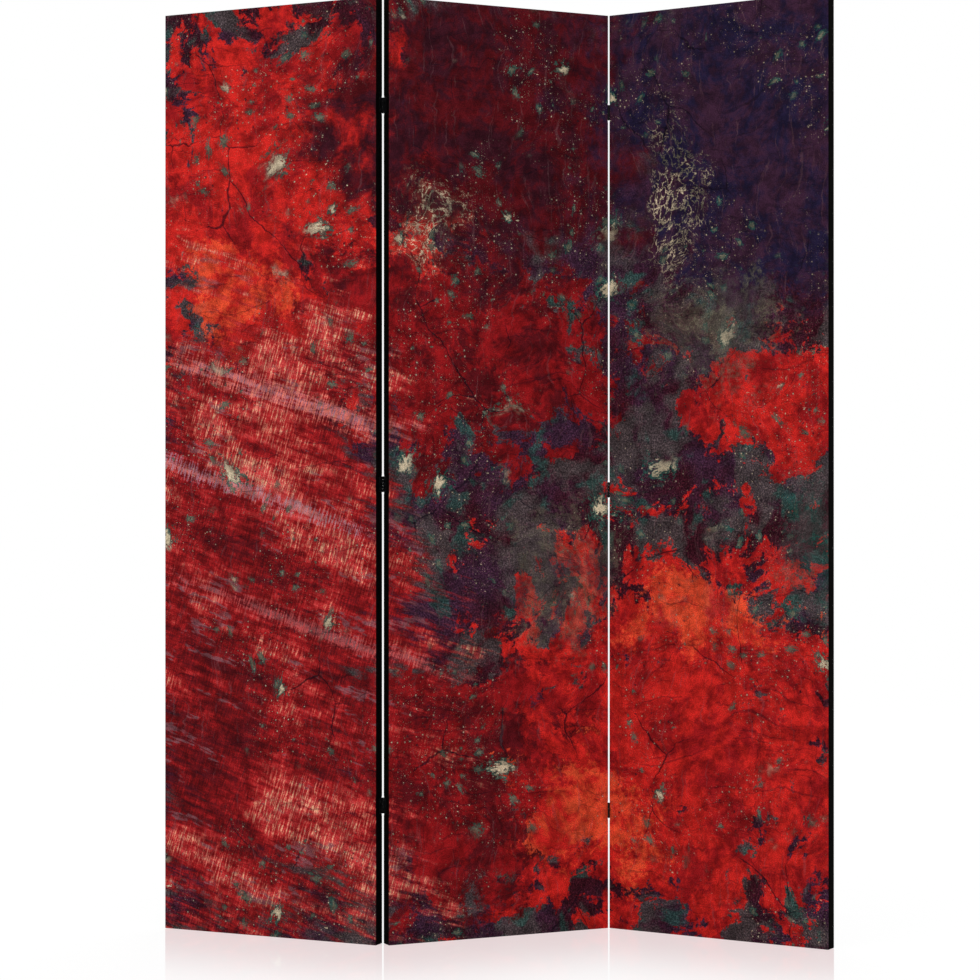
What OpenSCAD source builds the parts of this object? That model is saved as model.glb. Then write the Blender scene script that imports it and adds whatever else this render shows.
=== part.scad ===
// Folding screen of three tall canvas panels that stands in a zigzag.
// Each panel is a mitred pine stretcher frame, wrapped in printed canvas and
// backed with cloth. Three small butt hinges join each pair of panels.
// Millimetres. X runs across the screen, its front faces -Y, and +Z is up.
// The origin is on the floor, under the middle of the standing screen.

/* [Panels] */
// Width of each panel over its canvas
panel_w = 446; // [320:1:700]
// Height of each panel over its canvas
panel_h = 1720; // [1300:5:2200]
// Depth of each panel over its canvas
panel_t = 25; // [22:0.5:40]

/* [Stance] */
// Turn of the left panel, which sets its outer edge back
left_yaw = 24.8; // [2:0.1:60]
// Turn of the centre panel, which sets its right edge back
centre_yaw = 24.7; // [2:0.1:60]
// Turn of the right panel, which sets its inner edge back
right_yaw = 31.2; // [2:0.1:60]

/* [Stretcher bars] */
// Width of the stiles and rails across the panel's face
bar_w = 42; // [34:1:60]
// Width of the raised rim that carries the canvas
rim_w = 5; // [3:0.5:10]
// Fall of the bevel from the rim to the bar's inner edge
bevel_drop = 3; // [1:0.5:6]
// Radius of the eased edges of the bars
bar_edge_r = 1; // [0.8:0.1:3]

/* [Cross braces] */
// Height of each brace
brace_h = 42; // [34:1:70]
// Thickness of each brace, flush with the back of the frame
brace_t = 14; // [10:0.5:17]
// Chamfer along the front edges of each brace
brace_chamfer = 2; // [0.5:0.5:4]

/* [Brace dowels] */
// Diameter of each dowel
dowel_d = 6; // [4:0.5:8]
// Length of each dowel
dowel_l = 30; // [20:1:40]
// Gap for glue round each dowel
dowel_gap = 0.05; // [0.02:0.01:0.1]
// Gap for glue past each end of a dowel
dowel_end_gap = 0.5; // [0.2:0.1:1]
// Distance between the two dowels in one end of a brace
dowel_pitch = 22; // [14:1:26]

/* [Corner nails] */
// Length of each leg of a V-nail, seen from the back
nail_leg = 7; // [5:0.5:8]
// Thickness of a V-nail's strip
nail_t = 0.6; // [0.4:0.1:1]
// Depth of a V-nail in the wood
nail_depth = 10; // [6:1:14]
// Distance of the outer V-nail from the frame's edges
nail_inset = 13; // [10:1:15]
// Distance between the two V-nails of one corner, along an edge
nail_pitch = 14; // [10:1:16]

/* [Canvas] */
// Thickness of the printed canvas
canvas_t = 0.5; // [0.3:0.1:0.9]
// Distance from the panel's edge to the canvas's raw edge on the back
canvas_return = 27; // [25:1:32]
// How much tighter the canvas turns than the eased edge that it covers
canvas_slack = 0.3; // [0.1:0.1:0.6]

/* [Back cloth] */
// Thickness of one layer of the cloth
cloth_t = 0.4; // [0.2:0.05:0.5]
// Distance from the panel's edge to the edge of the cloth
cloth_inset = 6; // [4:0.5:8]
// Width of the hem that is turned under
cloth_hem = 18; // [18:1:24]

/* [Staples] */
// Width of a staple's crown
staple_w = 11; // [8:0.5:13]
// Length of a staple's legs, below its crown
staple_l = 7.5; // [6:0.5:10]
// Thickness of the wire
staple_t = 0.6; // [0.4:0.1:0.7]
// Breadth of the wire
staple_b = 1; // [0.7:0.1:1.3]
// Distance of the staples from the panel's edge
staple_inset = 19; // [18:0.5:21]
// Distance of the outermost staples from the panel's corners
staple_corner = 55; // [50:1:80]
// Distance between staples, rounded to fill each edge
staple_pitch = 110; // [60:5:160]

/* [Hinges] */
// Height of each hinge
hinge_h = 28; // [26:1:60]
// Thickness of the leaves
leaf_t = 0.8; // [0.6:0.1:1.5]
// Reach of a leaf from the pin's axis
leaf_w = 14; // [12.5:0.5:18]
// Radius of a leaf's free corners
leaf_corner_r = 2; // [0.5:0.5:3]
// Gap between the two leaves of a closed hinge
leaf_gap = 0.6; // [0.4:0.1:1.2]
// Number of knuckles, shared by the two leaves
knuckle_count = 5; // [3:2:9]
// Gap between one knuckle and the next
knuckle_gap = 0.3; // [0.1:0.05:0.5]
// Clearance between one leaf's knuckles and the edge of the other leaf
knuckle_clearance = 0.3; // [0.2:0.05:0.6]
// Gap where the end of a rolled knuckle meets its own leaf
seam_gap = 0.2; // [0.1:0.05:0.4]
// Diameter of the hinge pin
pin_d = 1.5; // [1.2:0.1:2]
// Running clearance round the pin
pin_clearance = 0.05; // [0.02:0.01:0.1]
// Diameter of the pin's riveted heads
pin_head_d = 2.8; // [2.5:0.1:3.1]
// Thickness of the pin's riveted heads
pin_head_t = 0.6; // [0.4:0.1:1]
// How far the left joint's pins stand behind the panels
left_axis_proud = 1.7; // [1.7:0.1:4]
// How far the right joint's pins stand before the panels
right_axis_proud = 1.2; // [1.2:0.1:3]

/* [Hinge heights] */
// Left joint: from the top of the panels down to the top hinge
left_top_inset = 194; // [100:1:300]
// Left joint: from the middle of the panels down to the middle hinge
left_middle_drop = 24; // [-40:1:60]
// Left joint: from the floor up to the bottom hinge
left_bottom_inset = 251; // [100:1:300]
// Right joint: from the top of the panels down to the top hinge
right_top_inset = 183; // [100:1:300]
// Right joint: from the middle of the panels down to the middle hinge
right_middle_drop = 34; // [-40:1:60]
// Right joint: from the floor up to the bottom hinge
right_bottom_inset = 222; // [100:1:300]

/* [Hinge screws] */
// Diameter of the screws
screw_d = 2.5; // [2:0.1:3]
// Length of the screws
screw_l = 16; // [10:0.5:16]
// Length of a screw's point
screw_point_l = 4; // [2:0.5:5]
// Diameter of the countersunk heads
screw_head_d = 4.8; // [4.2:0.1:5.2]
// Gap between a screw and its holes in the leaf and the canvas
screw_gap = 0.1; // [0.05:0.05:0.3]
// Gap between a screw and its pilot hole in the wood
pilot_gap = 0.05; // [0.02:0.01:0.1]
// Distance of the screws from the pin's axis
screw_offset = 8.6; // [8:0.1:9.5]
// Distance between the two screws of one leaf
screw_pitch = 16; // [10:0.5:18]
// Width of each bar of the cross recess
recess_w = 0.6; // [0.4:0.1:0.8]
// Length of each bar of the cross recess
recess_l = 2.8; // [2:0.1:3.2]
// Depth of the cross recess
recess_depth = 0.8; // [0.4:0.1:1]

/* [Hidden] */
// Fineness of every round surface
$fn = 48;
// How far a cutting solid runs past the surface that it cuts
cut = 1;

PANELS = ["left", "centre", "right"];
JOINTS = ["left", "right"];
HINGES = ["top", "middle", "bottom"];
PANEL_PIECES = [
    "left_stile", "right_stile", "top_rail", "bottom_rail", "upper_brace", "lower_brace",
    "brace_dowels", "corner_nails", "canvas", "back_cloth", "staples"
];
HINGE_PIECES = ["inner_leaf", "outer_leaf", "pin"];
LEAVES = ["inner", "outer"];

function panel_node(panel, piece) = str(PANELS[panel], "_panel_", piece);
function hinge_node(joint, hinge, piece) = str(JOINTS[joint], "_joint_", HINGES[hinge], "_hinge_", piece);
function screw_node(joint, leaf) = str(JOINTS[joint], "_joint_", LEAVES[leaf], "_screws");

// The frame inside the canvas
frame_w = panel_w - 2 * canvas_t;
frame_t = panel_t - 2 * canvas_t;
frame_h = panel_h - 2 * canvas_t;
canvas_inner_r = bar_edge_r - canvas_slack;
canvas_outer_r = canvas_inner_r + canvas_t;
brace_l = frame_w - 2 * bar_w;
brace_heights = [panel_h * 2 / 3, panel_h / 3];
brace_y = panel_t - canvas_t - brace_t;
dowel_hole_d = dowel_d + 2 * dowel_gap;
dowel_hole_l = dowel_l + 2 * dowel_end_gap;
staple_seat_y = panel_t + 2 * cloth_t;

// The hinges: the leaves set the gap between two panels, and the knuckles stand
// clear of it, before or behind the panels' faces
pin_hole_r = pin_d / 2 + pin_clearance;
knuckle_r = pin_hole_r + leaf_t;
seat_x = leaf_gap / 2 + leaf_t;
joint_gap = 2 * seat_x;
knuckle_h = (hinge_h - (knuckle_count - 1) * knuckle_gap) / knuckle_count;
notch = knuckle_r + knuckle_clearance;
hinge_heights = [
    [panel_h - left_top_inset, panel_h / 2 - left_middle_drop, left_bottom_inset],
    [panel_h - right_top_inset, panel_h / 2 - right_middle_drop, right_bottom_inset]
];

// A panel's own frame has x along its width, y from its front to its back, z up.
// The left joint's axis lies behind the panels and the right joint's before them.
function axis_y(joint) = joint == 0 ? panel_t + left_axis_proud : -right_axis_proud;

// Where each panel's front left edge and each joint's axis stand, seen from above
function turned(v, angle) = [v.x * cos(angle) - v.y * sin(angle), v.x * sin(angle) + v.y * cos(angle)];
yaws = [-left_yaw, centre_yaw, -right_yaw];
axes_at = [
    turned([-joint_gap / 2, axis_y(0)], yaws[1]),
    turned([panel_w + joint_gap / 2, axis_y(1)], yaws[1])
];
panels_at = [
    axes_at[0] - turned([panel_w + joint_gap / 2, axis_y(0)], yaws[0]),
    [0, 0],
    axes_at[1] - turned([-joint_gap / 2, axis_y(1)], yaws[2])
];

// The middle of the standing screen, from the panels' rounded corners and their back cloth
edge_r = canvas_outer_r;
corner_centres = [
    for (p = [0 : 2], x = [edge_r, panel_w - edge_r], y = [edge_r, panel_t - edge_r])
        panels_at[p] + turned([x, y], yaws[p])
];
cloth_corners = [
    for (p = [0 : 2], x = [cloth_inset, panel_w - cloth_inset])
        panels_at[p] + turned([x, staple_seat_y], yaws[p])
];
function lowest(k) = min([for (c = corner_centres) c[k] - edge_r, for (c = cloth_corners) c[k]]);
function highest(k) = max([for (c = corner_centres) c[k] + edge_r, for (c = cloth_corners) c[k]]);
middle = [for (k = [0 : 1]) (lowest(k) + highest(k)) / 2];

// Places children, made in a panel's own frame, where that panel stands
module in_panel(panel) {
    translate(concat(panels_at[panel] - middle, 0)) rotate(yaws[panel]) children();
}

// Places children on a hinge axis, in the panel's own frame, with the side face that
// the leaf lies on at +seat_x and the leaf reaching to -y. Side 0 is the panel to the
// left of the joint and side 1 the panel to its right.
module at_leaf(joint, side, height) {
    translate([side == 0 ? panel_w + joint_gap / 2 : -joint_gap / 2, axis_y(joint), height])
        mirror([1 - side, 0, 0])
            mirror([0, joint, 0])
                children();
}

// The side of a joint that the centre panel is on
function inner_side(joint) = 1 - joint;

// What is cut from a square corner at the origin to leave it round
module corner_cut(r) {
    difference() {
        translate([-cut, -cut]) square(r + cut);
        translate([r, r]) circle(r);
    }
}

module rounded_rect(size, r) {
    difference() {
        square(size);
        for (i = [0, 1], k = [0, 1])
            translate([i * size.x, k * size.y]) mirror([i, 0]) mirror([0, k]) corner_cut(r);
    }
}

// A slab whose long edges are rounded, front and back
module rounded_slab(size, r) {
    intersection() {
        linear_extrude(size.z) rounded_rect([size.x, size.y], r);
        rotate([90, 0, 90]) linear_extrude(size.x) rounded_rect([size.y, size.z], r);
    }
}

// Mirrors children, made for the panel's bottom left corner, into all four corners
module at_corners() {
    for (i = [0, 1], k = [0, 1])
        translate([i * panel_w, 0, k * panel_h]) mirror([i, 0, 0]) mirror([0, 0, k]) children();
}

// Even places along an edge, with the same margin at both ends
function spread(length) =
    let (run = length - 2 * staple_corner, gaps = max(1, round(run / staple_pitch)))
    [for (i = [0 : gaps]) staple_corner + i * run / gaps];

// One staple with its crown along x, seated on y = 0, and its legs towards -y
module staple() {
    half = staple_w / 2;
    inner = half - staple_t;
    tip = staple_l - staple_t;
    translate([0, 0, -staple_b / 2]) linear_extrude(staple_b) polygon([
        [-half, staple_t], [half, staple_t], [half, -staple_l], [inner, -tip], [inner, 0],
        [-inner, 0], [-inner, -tip], [-half, -staple_l]
    ]);
}

// The staples on one stile, 0 for the left and 1 for the right
module stile_staples(side) {
    x = side == 0 ? staple_inset : panel_w - staple_inset;
    for (z = spread(panel_h)) translate([x, staple_seat_y, z]) rotate([0, 90, 0]) staple();
}

// The staples on one rail, 0 for the bottom and 1 for the top
module rail_staples(side) {
    z = side == 0 ? staple_inset : panel_h - staple_inset;
    for (x = spread(panel_w)) translate([x, staple_seat_y, z]) staple();
}

// The two V-nails of the bottom left corner, across the mitre, driven in from the back
module corner_nail_pair() {
    for (a = [nail_inset, nail_inset + nail_pitch]) {
        b = a + nail_t;
        translate([canvas_t, panel_t - canvas_t, canvas_t])
            rotate([90, 0, 0])
                linear_extrude(nail_depth)
                    polygon([
                        [a - nail_leg, a], [a, a], [a, a - nail_leg],
                        [b, a - nail_leg], [b, b], [a - nail_leg, b]
                    ]);
    }
}

// Section of a stretcher bar: x from its outer edge, y from its front
module bar_section() {
    difference() {
        polygon([[0, 0], [rim_w, 0], [bar_w, bevel_drop], [bar_w, frame_t], [0, frame_t]]);
        corner_cut(bar_edge_r);
        translate([0, frame_t]) mirror([0, 1]) corner_cut(bar_edge_r);
        translate([bar_w, frame_t]) mirror([0, 1]) mirror([1, 0]) corner_cut(bar_edge_r);
    }
}

// A bar with both ends mitred, standing on the origin with its outer edge on x = 0
module mitred_bar(length) {
    intersection() {
        linear_extrude(length) bar_section();
        translate([0, frame_t + cut, 0])
            rotate([90, 0, 0])
                linear_extrude(frame_t + 2 * cut)
                    polygon([
                        [-cut, -cut], [bar_w + cut, bar_w + cut],
                        [bar_w + cut, length - bar_w - cut], [-cut, length + cut]
                    ]);
    }
}

// The dowels at one end of every brace, or the holes for them, 0 for the left end
module dowel_row(side, diameter, length) {
    x = side == 0 ? canvas_t + bar_w : panel_w - canvas_t - bar_w;
    for (z = brace_heights, step = [-dowel_pitch / 2, dowel_pitch / 2])
        translate([x, brace_y + brace_t / 2, z + step])
            rotate([0, 90, 0])
                cylinder(h = length, d = diameter, center = true);
}

// Places children, made along +z from a screw's head, at both screws of a leaf
module at_leaf_screws() {
    for (step = [-screw_pitch / 2, screw_pitch / 2])
        translate([seat_x - leaf_t, -screw_offset, step]) rotate([0, 90, 0]) children();
}

// The room that a screw takes, with a gap round it and its head's face at z = 0
module screw_room(gap) {
    head_r = screw_head_d / 2;
    hole_r = screw_d / 2 + gap;
    rotate_extrude() polygon([
        [0, -cut], [head_r + gap + cut, -cut], [hole_r, head_r - screw_d / 2],
        [hole_r, screw_l + gap], [0, screw_l + gap]
    ]);
}

// The rooms of all the screws that go into one side face of a panel, if it has a joint
module side_screw_rooms(panel, side, gap) {
    joint = panel - 1 + side;
    if (joint >= 0 && joint <= 1)
        for (height = hinge_heights[joint]) at_leaf(joint, 1 - side, height) at_leaf_screws() screw_room(gap);
}

module stile(panel, side) {
    color("BurlyWood") in_panel(panel) difference() {
        translate([side * panel_w, 0, 0])
            mirror([side, 0, 0])
                translate([canvas_t, canvas_t, canvas_t])
                    mitred_bar(frame_h);
        dowel_row(side, dowel_hole_d, dowel_hole_l);
        stile_staples(side);
        at_corners() corner_nail_pair();
        side_screw_rooms(panel, side, pilot_gap);
    }
}

module rail(panel, side) {
    color("BurlyWood") in_panel(panel) difference() {
        translate([0, 0, side * panel_h])
            mirror([0, 0, side])
                translate([canvas_t, canvas_t, canvas_t])
                    mirror([1, 0, -1])
                        mitred_bar(frame_w);
        rail_staples(side);
        at_corners() corner_nail_pair();
    }
}

module brace(panel, place) {
    color("Tan") in_panel(panel) difference() {
        translate([canvas_t + bar_w, brace_y, brace_heights[place] - brace_h / 2])
            rotate([90, 0, 90])
                linear_extrude(brace_l)
                    polygon([
                        [0, brace_chamfer], [brace_chamfer, 0], [brace_t, 0],
                        [brace_t, brace_h], [brace_chamfer, brace_h], [0, brace_h - brace_chamfer]
                    ]);
        for (side = [0, 1]) dowel_row(side, dowel_hole_d, dowel_hole_l);
    }
}

module brace_dowels(panel) {
    color("Wheat") in_panel(panel) for (side = [0, 1]) dowel_row(side, dowel_d, dowel_l);
}

module corner_nails(panel) {
    color("Silver") in_panel(panel) at_corners() corner_nail_pair();
}

module staples(panel) {
    color("Silver") in_panel(panel) for (side = [0, 1]) {
        stile_staples(side);
        rail_staples(side);
    }
}

// The printed sheet, turned round the frame's edges and onto its back
module canvas(panel) {
    color("FireBrick") in_panel(panel) difference() {
        rounded_slab([panel_w, panel_t, panel_h], canvas_outer_r);
        translate([canvas_t, canvas_t, canvas_t])
            rounded_slab([frame_w, frame_t, frame_h], canvas_inner_r);
        translate([canvas_return, panel_t / 2, canvas_return])
            cube([panel_w - 2 * canvas_return, panel_t, panel_h - 2 * canvas_return]);
        for (side = [0, 1]) {
            stile_staples(side);
            rail_staples(side);
            side_screw_rooms(panel, side, screw_gap);
        }
    }
}

// The cloth over the back of the frame, with its hem turned under
module back_cloth(panel) {
    hem_edge = cloth_inset + cloth_hem;
    color("DimGray") in_panel(panel) difference() {
        translate([cloth_inset, panel_t, cloth_inset])
            cube([panel_w - 2 * cloth_inset, 2 * cloth_t, panel_h - 2 * cloth_inset]);
        translate([hem_edge, panel_t - cut, hem_edge])
            cube([panel_w - 2 * hem_edge, cloth_t + cut, panel_h - 2 * hem_edge]);
        for (side = [0, 1]) {
            stile_staples(side);
            rail_staples(side);
        }
    }
}

// Section of a rolled knuckle about the pin, with the neck that joins it to its leaf.
// The neck leans out from the leaf, and the roll ends a seam's gap before the neck.
module knuckle_section() {
    inner_x = seat_x - leaf_t;
    lean = atan2(pin_hole_r - inner_x, notch - knuckle_r / 2);
    neck_at = inner_x * cos(lean) + notch * sin(lean);
    seam = lean + acos((neck_at - seam_gap) / knuckle_r);
    far = 3 * knuckle_r;
    difference() {
        circle(knuckle_r);
        circle(pin_hole_r);
        polygon([[0, 0], [far, 0], far * [cos(seam), -sin(seam)]]);
    }
    polygon([
        [pin_hole_r, 0], [knuckle_r, 0], [knuckle_r, -knuckle_r / 2], [seat_x, -notch],
        [seat_x, -notch - leaf_t], [inner_x, -notch - leaf_t], [inner_x, -notch], [pin_hole_r, -knuckle_r / 2]
    ]);
}

// One leaf about its pin's axis, with its knuckles from the given one on, every other one
module leaf(first) {
    difference() {
        union() {
            translate([seat_x - leaf_t, -leaf_w, -hinge_h / 2])
                rotate([90, 0, 90])
                    linear_extrude(leaf_t)
                        difference() {
                            square([leaf_w - notch, hinge_h]);
                            corner_cut(leaf_corner_r);
                            translate([0, hinge_h]) mirror([0, 1]) corner_cut(leaf_corner_r);
                        }
            for (i = [first : 2 : knuckle_count - 1])
                translate([0, 0, i * (knuckle_h + knuckle_gap) - hinge_h / 2])
                    linear_extrude(knuckle_h)
                        knuckle_section();
        }
        at_leaf_screws() screw_room(screw_gap);
    }
}

// One screw with its head's face at z = 0 and its point up
module screw() {
    head_r = screw_head_d / 2;
    screw_r = screw_d / 2;
    difference() {
        rotate_extrude() polygon([
            [0, 0], [head_r, 0], [screw_r, head_r - screw_r],
            [screw_r, screw_l - screw_point_l], [0, screw_l]
        ]);
        for (turn = [0, 90])
            rotate(turn)
                translate([-recess_l / 2, -recess_w / 2, -cut])
                    cube([recess_l, recess_w, cut + recess_depth]);
    }
}

// One leaf of a hinge where it stands: leaf 0 is on the centre panel, 1 on the outer one
module hinge_leaf(joint, hinge, leaf) {
    side = leaf == 0 ? inner_side(joint) : 1 - inner_side(joint);
    color("Black") in_panel(joint + side) at_leaf(joint, side, hinge_heights[joint][hinge]) leaf(leaf);
}

// A riveted head, flat where it bears on the end knuckle
module pin_head() {
    cylinder(h = pin_head_t, d1 = pin_head_d, d2 = pin_head_d - pin_head_t);
}

module hinge_pin(joint, hinge) {
    side = inner_side(joint);
    reach = hinge_h / 2 + pin_clearance;
    color("Black") in_panel(joint + side) at_leaf(joint, side, hinge_heights[joint][hinge]) {
        cylinder(h = 2 * reach, d = pin_d, center = true);
        for (end = [0, 1]) mirror([0, 0, end]) translate([0, 0, reach]) pin_head();
    }
}

module hinge_screws(joint, leaf) {
    side = leaf == 0 ? inner_side(joint) : 1 - inner_side(joint);
    color("Black") in_panel(joint + side)
        for (height = hinge_heights[joint]) at_leaf(joint, side, height) at_leaf_screws() screw();
}

for (p = [0 : 2]) {
    stile(p, 0);
    stile(p, 1);
    rail(p, 1);
    rail(p, 0);
    brace(p, 0);
    brace(p, 1);
    brace_dowels(p);
    corner_nails(p);
    canvas(p);
    back_cloth(p);
    staples(p);
}
for (j = [0 : 1]) {
    for (h = [0 : 2]) {
        hinge_leaf(j, h, 0);
        hinge_leaf(j, h, 1);
        hinge_pin(j, h);
    }
    hinge_screws(j, 0);
    hinge_screws(j, 1);
}
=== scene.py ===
"""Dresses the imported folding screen: printed canvases, back cloths, timber and steel, in a plain studio."""
import logging
import math
from dataclasses import dataclass, field
from enum import Enum, IntEnum
from functools import cache, cached_property
from typing import Callable, Iterable, Iterator, Sequence

import bpy
from mathutils import Matrix, Vector


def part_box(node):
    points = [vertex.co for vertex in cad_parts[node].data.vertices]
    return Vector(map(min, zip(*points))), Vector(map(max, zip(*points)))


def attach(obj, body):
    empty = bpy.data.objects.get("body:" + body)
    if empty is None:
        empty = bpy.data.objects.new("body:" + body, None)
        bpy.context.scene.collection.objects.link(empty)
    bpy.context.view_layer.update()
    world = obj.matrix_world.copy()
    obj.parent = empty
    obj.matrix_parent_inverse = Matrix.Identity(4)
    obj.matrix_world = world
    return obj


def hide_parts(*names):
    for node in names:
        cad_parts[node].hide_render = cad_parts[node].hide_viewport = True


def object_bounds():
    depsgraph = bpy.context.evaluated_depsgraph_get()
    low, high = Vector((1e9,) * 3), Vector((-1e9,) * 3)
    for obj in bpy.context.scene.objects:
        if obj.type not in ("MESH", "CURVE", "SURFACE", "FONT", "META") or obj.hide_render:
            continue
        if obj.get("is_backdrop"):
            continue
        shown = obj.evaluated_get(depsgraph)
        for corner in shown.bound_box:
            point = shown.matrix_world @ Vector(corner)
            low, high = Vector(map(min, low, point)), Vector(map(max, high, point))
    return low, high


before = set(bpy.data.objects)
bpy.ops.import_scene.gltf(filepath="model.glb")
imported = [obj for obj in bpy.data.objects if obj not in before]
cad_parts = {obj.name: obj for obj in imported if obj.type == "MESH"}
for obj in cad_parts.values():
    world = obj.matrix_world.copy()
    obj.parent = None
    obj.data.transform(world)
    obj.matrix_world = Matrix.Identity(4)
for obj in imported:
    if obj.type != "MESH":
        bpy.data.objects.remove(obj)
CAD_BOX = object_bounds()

log = logging.getLogger("screen")

Triple = tuple[float, float, float]
Colour = Triple
Flat = tuple[float, float]
Key = tuple[int, ...]
Socket = bpy.types.NodeSocket
Inputs = dict[str, Socket]

MM = 0.001
ROUNDING = 1e-9

# Axes of a panel's own frame
ACROSS, THROUGH, UP = range(3)

# Steps round one cell of a lattice
SQUARE = ((0, 0), (1, 0), (1, 1), (0, 1))

# Edges that turn further than this are eased
EASED_ANGLE = math.radians(35)


class Panel(Enum):
    """The three panels, by their place in the screen from left to right."""

    LEFT = "left"
    CENTRE = "centre"
    RIGHT = "right"

    @property
    def order(self) -> int:
        """Place in the row, 0 for the left panel."""
        return list(Panel).index(self)

    @property
    def body(self) -> str:
        """Name of the CAD body that the panel's pieces ride on."""
        return f"panel_{self.value}"


class GrainAxis(Enum):
    """The panel's axis that a bar's grain runs along."""

    ACROSS = "across"
    UPRIGHT = "upright"


class Face(IntEnum):
    """The faces of a printed canvas, numbered as its material slots."""

    PRINTED = 0
    RAW = 1
    BORDER = 2


@dataclass(frozen=True)
class PanelSize:
    """Sizes that all three panels share, in metres."""

    width: float = 446 * MM
    height: float = 1720 * MM
    depth: float = 25 * MM
    joint_gap: float = 2.2 * MM
    canvas: float = 0.5 * MM
    canvas_return: float = 27 * MM
    bar: float = 42.5 * MM
    edge_radius: float = 0.8 * MM
    cloth: float = 0.4 * MM
    cloth_inset: float = 6 * MM
    cloth_hem: float = 18 * MM
    staple_corner: float = 55 * MM
    staple_pitch: float = 110 * MM

    @property
    def box(self) -> Triple:
        """Size across, through and up."""
        return self.width, self.depth, self.height

    def staple_run(self, length: float) -> float:
        """Distance between the staples along an edge of the given length."""
        run = length - 2 * self.staple_corner
        return run / max(1, round(run / self.staple_pitch))

    def from_edge(self, x: float, z: float) -> float:
        """Distance of a place on a panel's front from its nearest edge."""
        return min(x, self.width - x, z, self.height - z)


SIZE = PanelSize()
YAWS = {Panel.LEFT: -24.8, Panel.CENTRE: 24.7, Panel.RIGHT: -31.2}
JOINTS = ("left", "right")
HINGES = ("top", "middle", "bottom")


@dataclass(frozen=True)
class PanelPlace:
    """Where one panel stands: its own frame has x across it, y from front to back and z up."""

    panel: Panel

    @property
    def yaw(self) -> float:
        """Turn about the upright axis, in radians."""
        return math.radians(YAWS[self.panel])

    def matrix(self) -> Matrix:
        """The panel's own frame in the row frame, found from the CAD canvas's box.

        Returns:
            The transform from the panel's frame to the row frame.
        """
        low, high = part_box(f"{self.panel.value}_panel_canvas")
        turn = Matrix.Rotation(self.yaw, 4, "Z")
        return Matrix.Translation((low + high) / 2 - turn @ (Vector(SIZE.box) / 2)) @ turn

    @cache
    def leaves(self, right: bool) -> tuple[Flat, ...]:
        """Lowest and highest point of each hinge leaf on one side of the panel.

        Args:
            right: Whether it is the panel's right side.

        Returns:
            A pair for each leaf, and none on a side without hinges.
        """
        number = self.panel.order - (0 if right else 1)
        if number not in range(len(JOINTS)):
            return ()
        leaf = "inner" if self.panel is Panel.CENTRE else "outer"
        boxes = [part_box(f"{JOINTS[number]}_joint_{height}_hinge_{leaf}_leaf") for height in HINGES]
        return tuple((low.z, high.z) for low, high in boxes)


def tone(colour: Colour, level: float) -> Colour:
    """A colour made darker or lighter by a factor."""
    return tuple(level * part for part in colour)


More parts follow.
